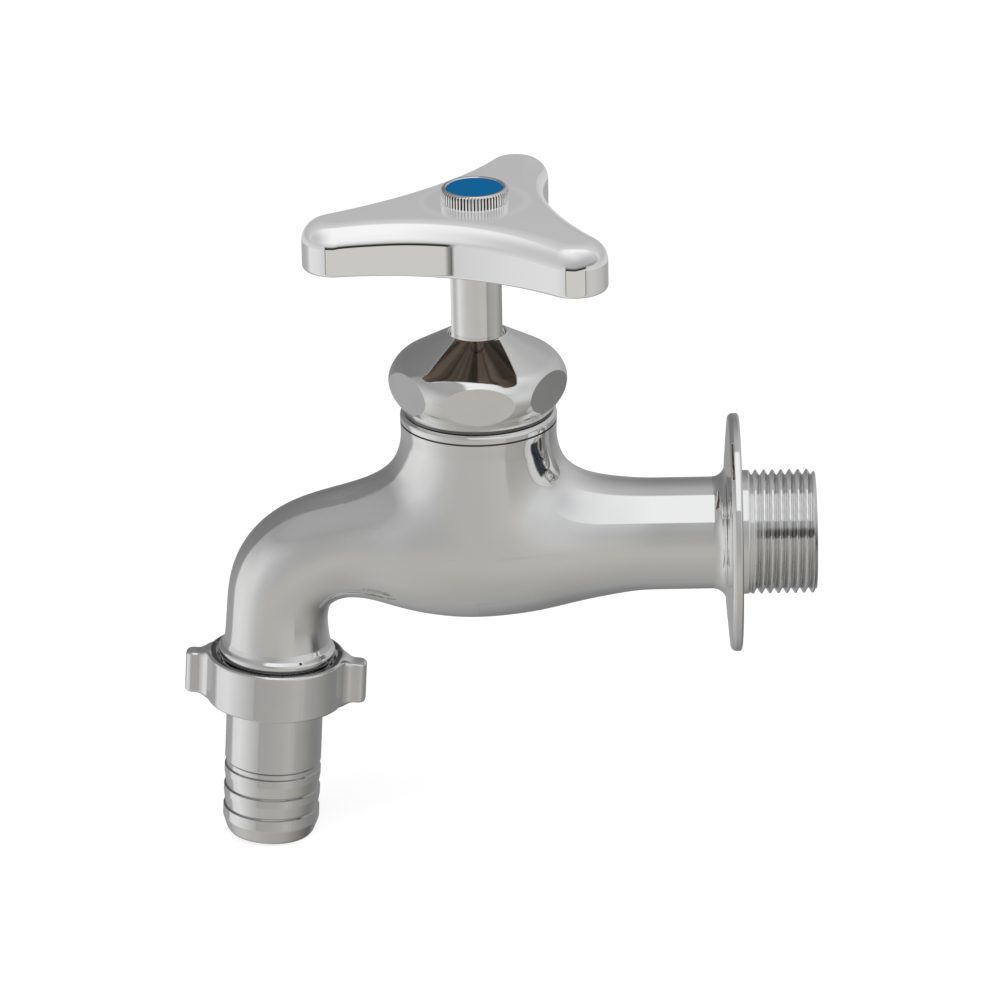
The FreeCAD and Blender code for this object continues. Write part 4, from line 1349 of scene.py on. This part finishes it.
def extrude(outline, height, rounding):
    return rounded_both(outline + rounding, height + rounding, rounding)


def box(x, y, half_x, half_y, rounding):
    return extrude(np.abs(x) - half_x, np.abs(y) - half_y, rounding)


def round_union(a, b, r):
    return np.maximum(r, np.minimum(a, b)) - np.hypot(np.maximum(r - a, 0), np.maximum(r - b, 0))


def round_intersection(a, b, r):
    return np.minimum(-r, np.maximum(a, b)) + np.hypot(np.maximum(r + a, 0), np.maximum(r + b, 0))


def wing_nut(points):
    """Ring with two ears, bored in three steps."""
    x, y, z = points.T
    radius = np.hypot(x, y)
    ring_middle = -0.5 * (COUPLING_TOP + COUPLING_BOTTOM)
    ring_half = 0.5 * (COUPLING_BOTTOM - COUPLING_TOP)
    ring = extrude(radius - COUPLING_R, np.abs(z - ring_middle) - ring_half, 0.55)
    ear_x = x * math.cos(EAR_TURN) + y * math.sin(EAR_TURN)
    ear_y = -x * math.sin(EAR_TURN) + y * math.cos(EAR_TURN)
    ear_middle = -(EAR_TOP + EAR_HEIGHT / 2)
    ears = extrude(box(ear_x, ear_y, EAR_REACH, EAR_THICKNESS / 2, 1.7),
                   np.abs(z - ear_middle) - EAR_HEIGHT / 2, 0.7)
    mouth = np.maximum(radius - 13.0, -(z + 2.4))
    bore = np.maximum(radius - COUPLING_BORE_R, -(z + 9.7))
    hole = np.minimum(mouth, np.minimum(bore, radius - 10.38))
    return round_intersection(round_union(ring, ears, 2.4), -hole, 0.35)


verts, faces = surface_nets(wing_nut, low=(-20.3, -15.6, -12.2), high=(20.3, 15.6, 0.2),
                            cell=0.32)
verts, normals = about_spout(verts, field_normals(wing_nut, verts))
put("wing_nut_casting", verts, faces, normals, COUPLING, body="wing_nut", slot="chrome_turned",
    replaces=("coupling_nut",))

# -------------------------------------------------------------- hose nipple
lathe("nipple_tube",
      [(TUBE_BORE_R, -8.2), (11.2, -8.2), (11.2, -9.38), (TUBE_R - 0.04, -9.38),
       (TUBE_R - 0.04, -11.4), (TUBE_R, -11.5), (TUBE_R, -25.0, 0.2), (9.98, -25.5, 0.2),
       (9.98, -26.6, 0.1), (BARB_R, -26.85, 0.1), (BARB_R, -28.4, 1.4), (9.94, -31.2, 0.1),
       (BARB_R, -31.5, 0.1), (BARB_R, -33.1, 1.4), (9.94, -35.9, 0.1), (BARB_R, -36.2, 0.1),
       (BARB_R, -38.6, 1.5), (9.4, -41.4, 0.6), (8.9, -NIPPLE_END, 0.3),
       (TUBE_BORE_R, -NIPPLE_END, 0.2)],
      about_spout, NIPPLE, closed=True, arc=10, body="nipple", slot="chrome_turned",
      replaces=("hose_nipple",))


# ------------------------------------------------------------ world and floor
def build_world():
    """The studio for reflections and light, a plain pale backdrop for the camera."""
    world = bpy.data.worlds.new("studio")
    bpy.context.scene.world = world
    graph = Graph(world, output="OutputWorld")
    room = graph.node("Background", {"Color": studio(graph, graph.coordinates()["Generated"])})
    backdrop = graph.node("Background", {"Color": (0.97, 0.97, 0.97)})
    camera_ray = graph.node("LightPath").outputs["Is Camera Ray"]
    graph.show(graph.mix_shader(camera_ray, room.outputs[0], backdrop.outputs[0]))


def floor_material():
    graph = Graph(bpy.data.materials.new("pale_floor"))
    mottle = graph.noise(graph.coordinates()["Object"], scale=14.0)
    color = graph.mix(mottle, (0.30, 0.30, 0.298), (0.33, 0.33, 0.328))
    diffuse = graph.node("BsdfDiffuse", {"Color": color})
    glow = graph.node("Emission", {"Color": (1, 1, 1), "Strength": 0.80})
    pale = graph.node("AddShader", {0: diffuse.outputs[0], 1: glow.outputs[0]})
    # what the polished metal sees below the horizon
    incoming = graph.node("NewGeometry").outputs["Incoming"]
    ray = graph.node("VectorMath", {0: incoming, "Scale": -1.0}, operation="SCALE").outputs[0]
    room = graph.node("Emission", {"Color": studio(graph, ray)})
    glossy_ray = graph.node("LightPath").outputs["Is Glossy Ray"]
    graph.show(graph.mix_shader(glossy_ray, pale.outputs[0], room.outputs[0]))
    return graph.owner


def build_floor():
    """Floor just under the lowest edge of the leaning nipple."""
    depth = 42.05       # down the spout axis, at the nipple's end
    floor_z = (SPOUT_END + DOWN * depth)[2] - TUBE_R * math.sin(LEAN) - 0.02
    material = floor_material()
    bm = bmesh.new()
    bmesh.ops.create_grid(bm, x_segments=24, y_segments=24, size=6.0)
    mesh = bpy.data.meshes.new("floor")
    bm.to_mesh(mesh)
    bm.free()
    floor = bpy.data.objects.new("floor", mesh)
    floor.location = (0, 0, floor_z * MM)
    bpy.context.scene.collection.objects.link(floor)
    mesh.materials.append(material)


# --------------------------------------------------------- lights and camera
def area_light(name, location, target, size, power):
    """Square lamp, in metres and watts, that leaves no highlight of its own."""
    data = bpy.data.lights.new(name, "AREA")
    data.shape = "RECTANGLE"
    data.size = data.size_y = size
    data.energy = power
    lamp = bpy.data.objects.new(name, data)
    lamp.location = location
    aim = Vector(target) - Vector(location)
    lamp.rotation_euler = aim.to_track_quat("-Z", "Y").to_euler()
    lamp.visible_glossy = False
    bpy.context.scene.collection.objects.link(lamp)


def build_camera():
    """Long lens from the front, looking down a little and rolled slightly."""
    look_down = math.radians(21.9)
    roll = math.radians(1.0)
    target = Vector((-50.85, 0.0, 8.05)) * MM
    distance = 1702.12766 * MM
    forward = Vector((0, math.cos(look_down), -math.sin(look_down)))
    level_right = Vector((1, 0, 0))
    level_up = Vector((0, math.sin(look_down), math.cos(look_down)))
    right = level_right * math.cos(roll) - level_up * math.sin(roll)
    up = level_right * math.sin(roll) + level_up * math.cos(roll)
    data = bpy.data.cameras.new("camera")
    data.sensor_width = 36.0
    data.lens = 287.4251497
    data.clip_start = 0.05
    data.clip_end = 50.0
    camera = bpy.data.objects.new("camera", data)
    pose = Matrix((right, up, -forward)).transposed().to_4x4()
    pose.translation = target - forward * distance
    camera.matrix_world = pose
    bpy.context.scene.collection.objects.link(camera)
    bpy.context.scene.camera = camera


build_world()
build_floor()
area_light("key", location=(-0.5, -0.6, 1.1), target=(-0.05, 0, 0), size=1.2, power=9.0)
area_light("fill", location=(0.7, -0.4, 0.9), target=(-0.05, 0, 0), size=1.0, power=4.0)
build_camera()
bpy.context.scene.view_settings.view_transform = "Standard"
bpy.context.scene.view_settings.look = "None"
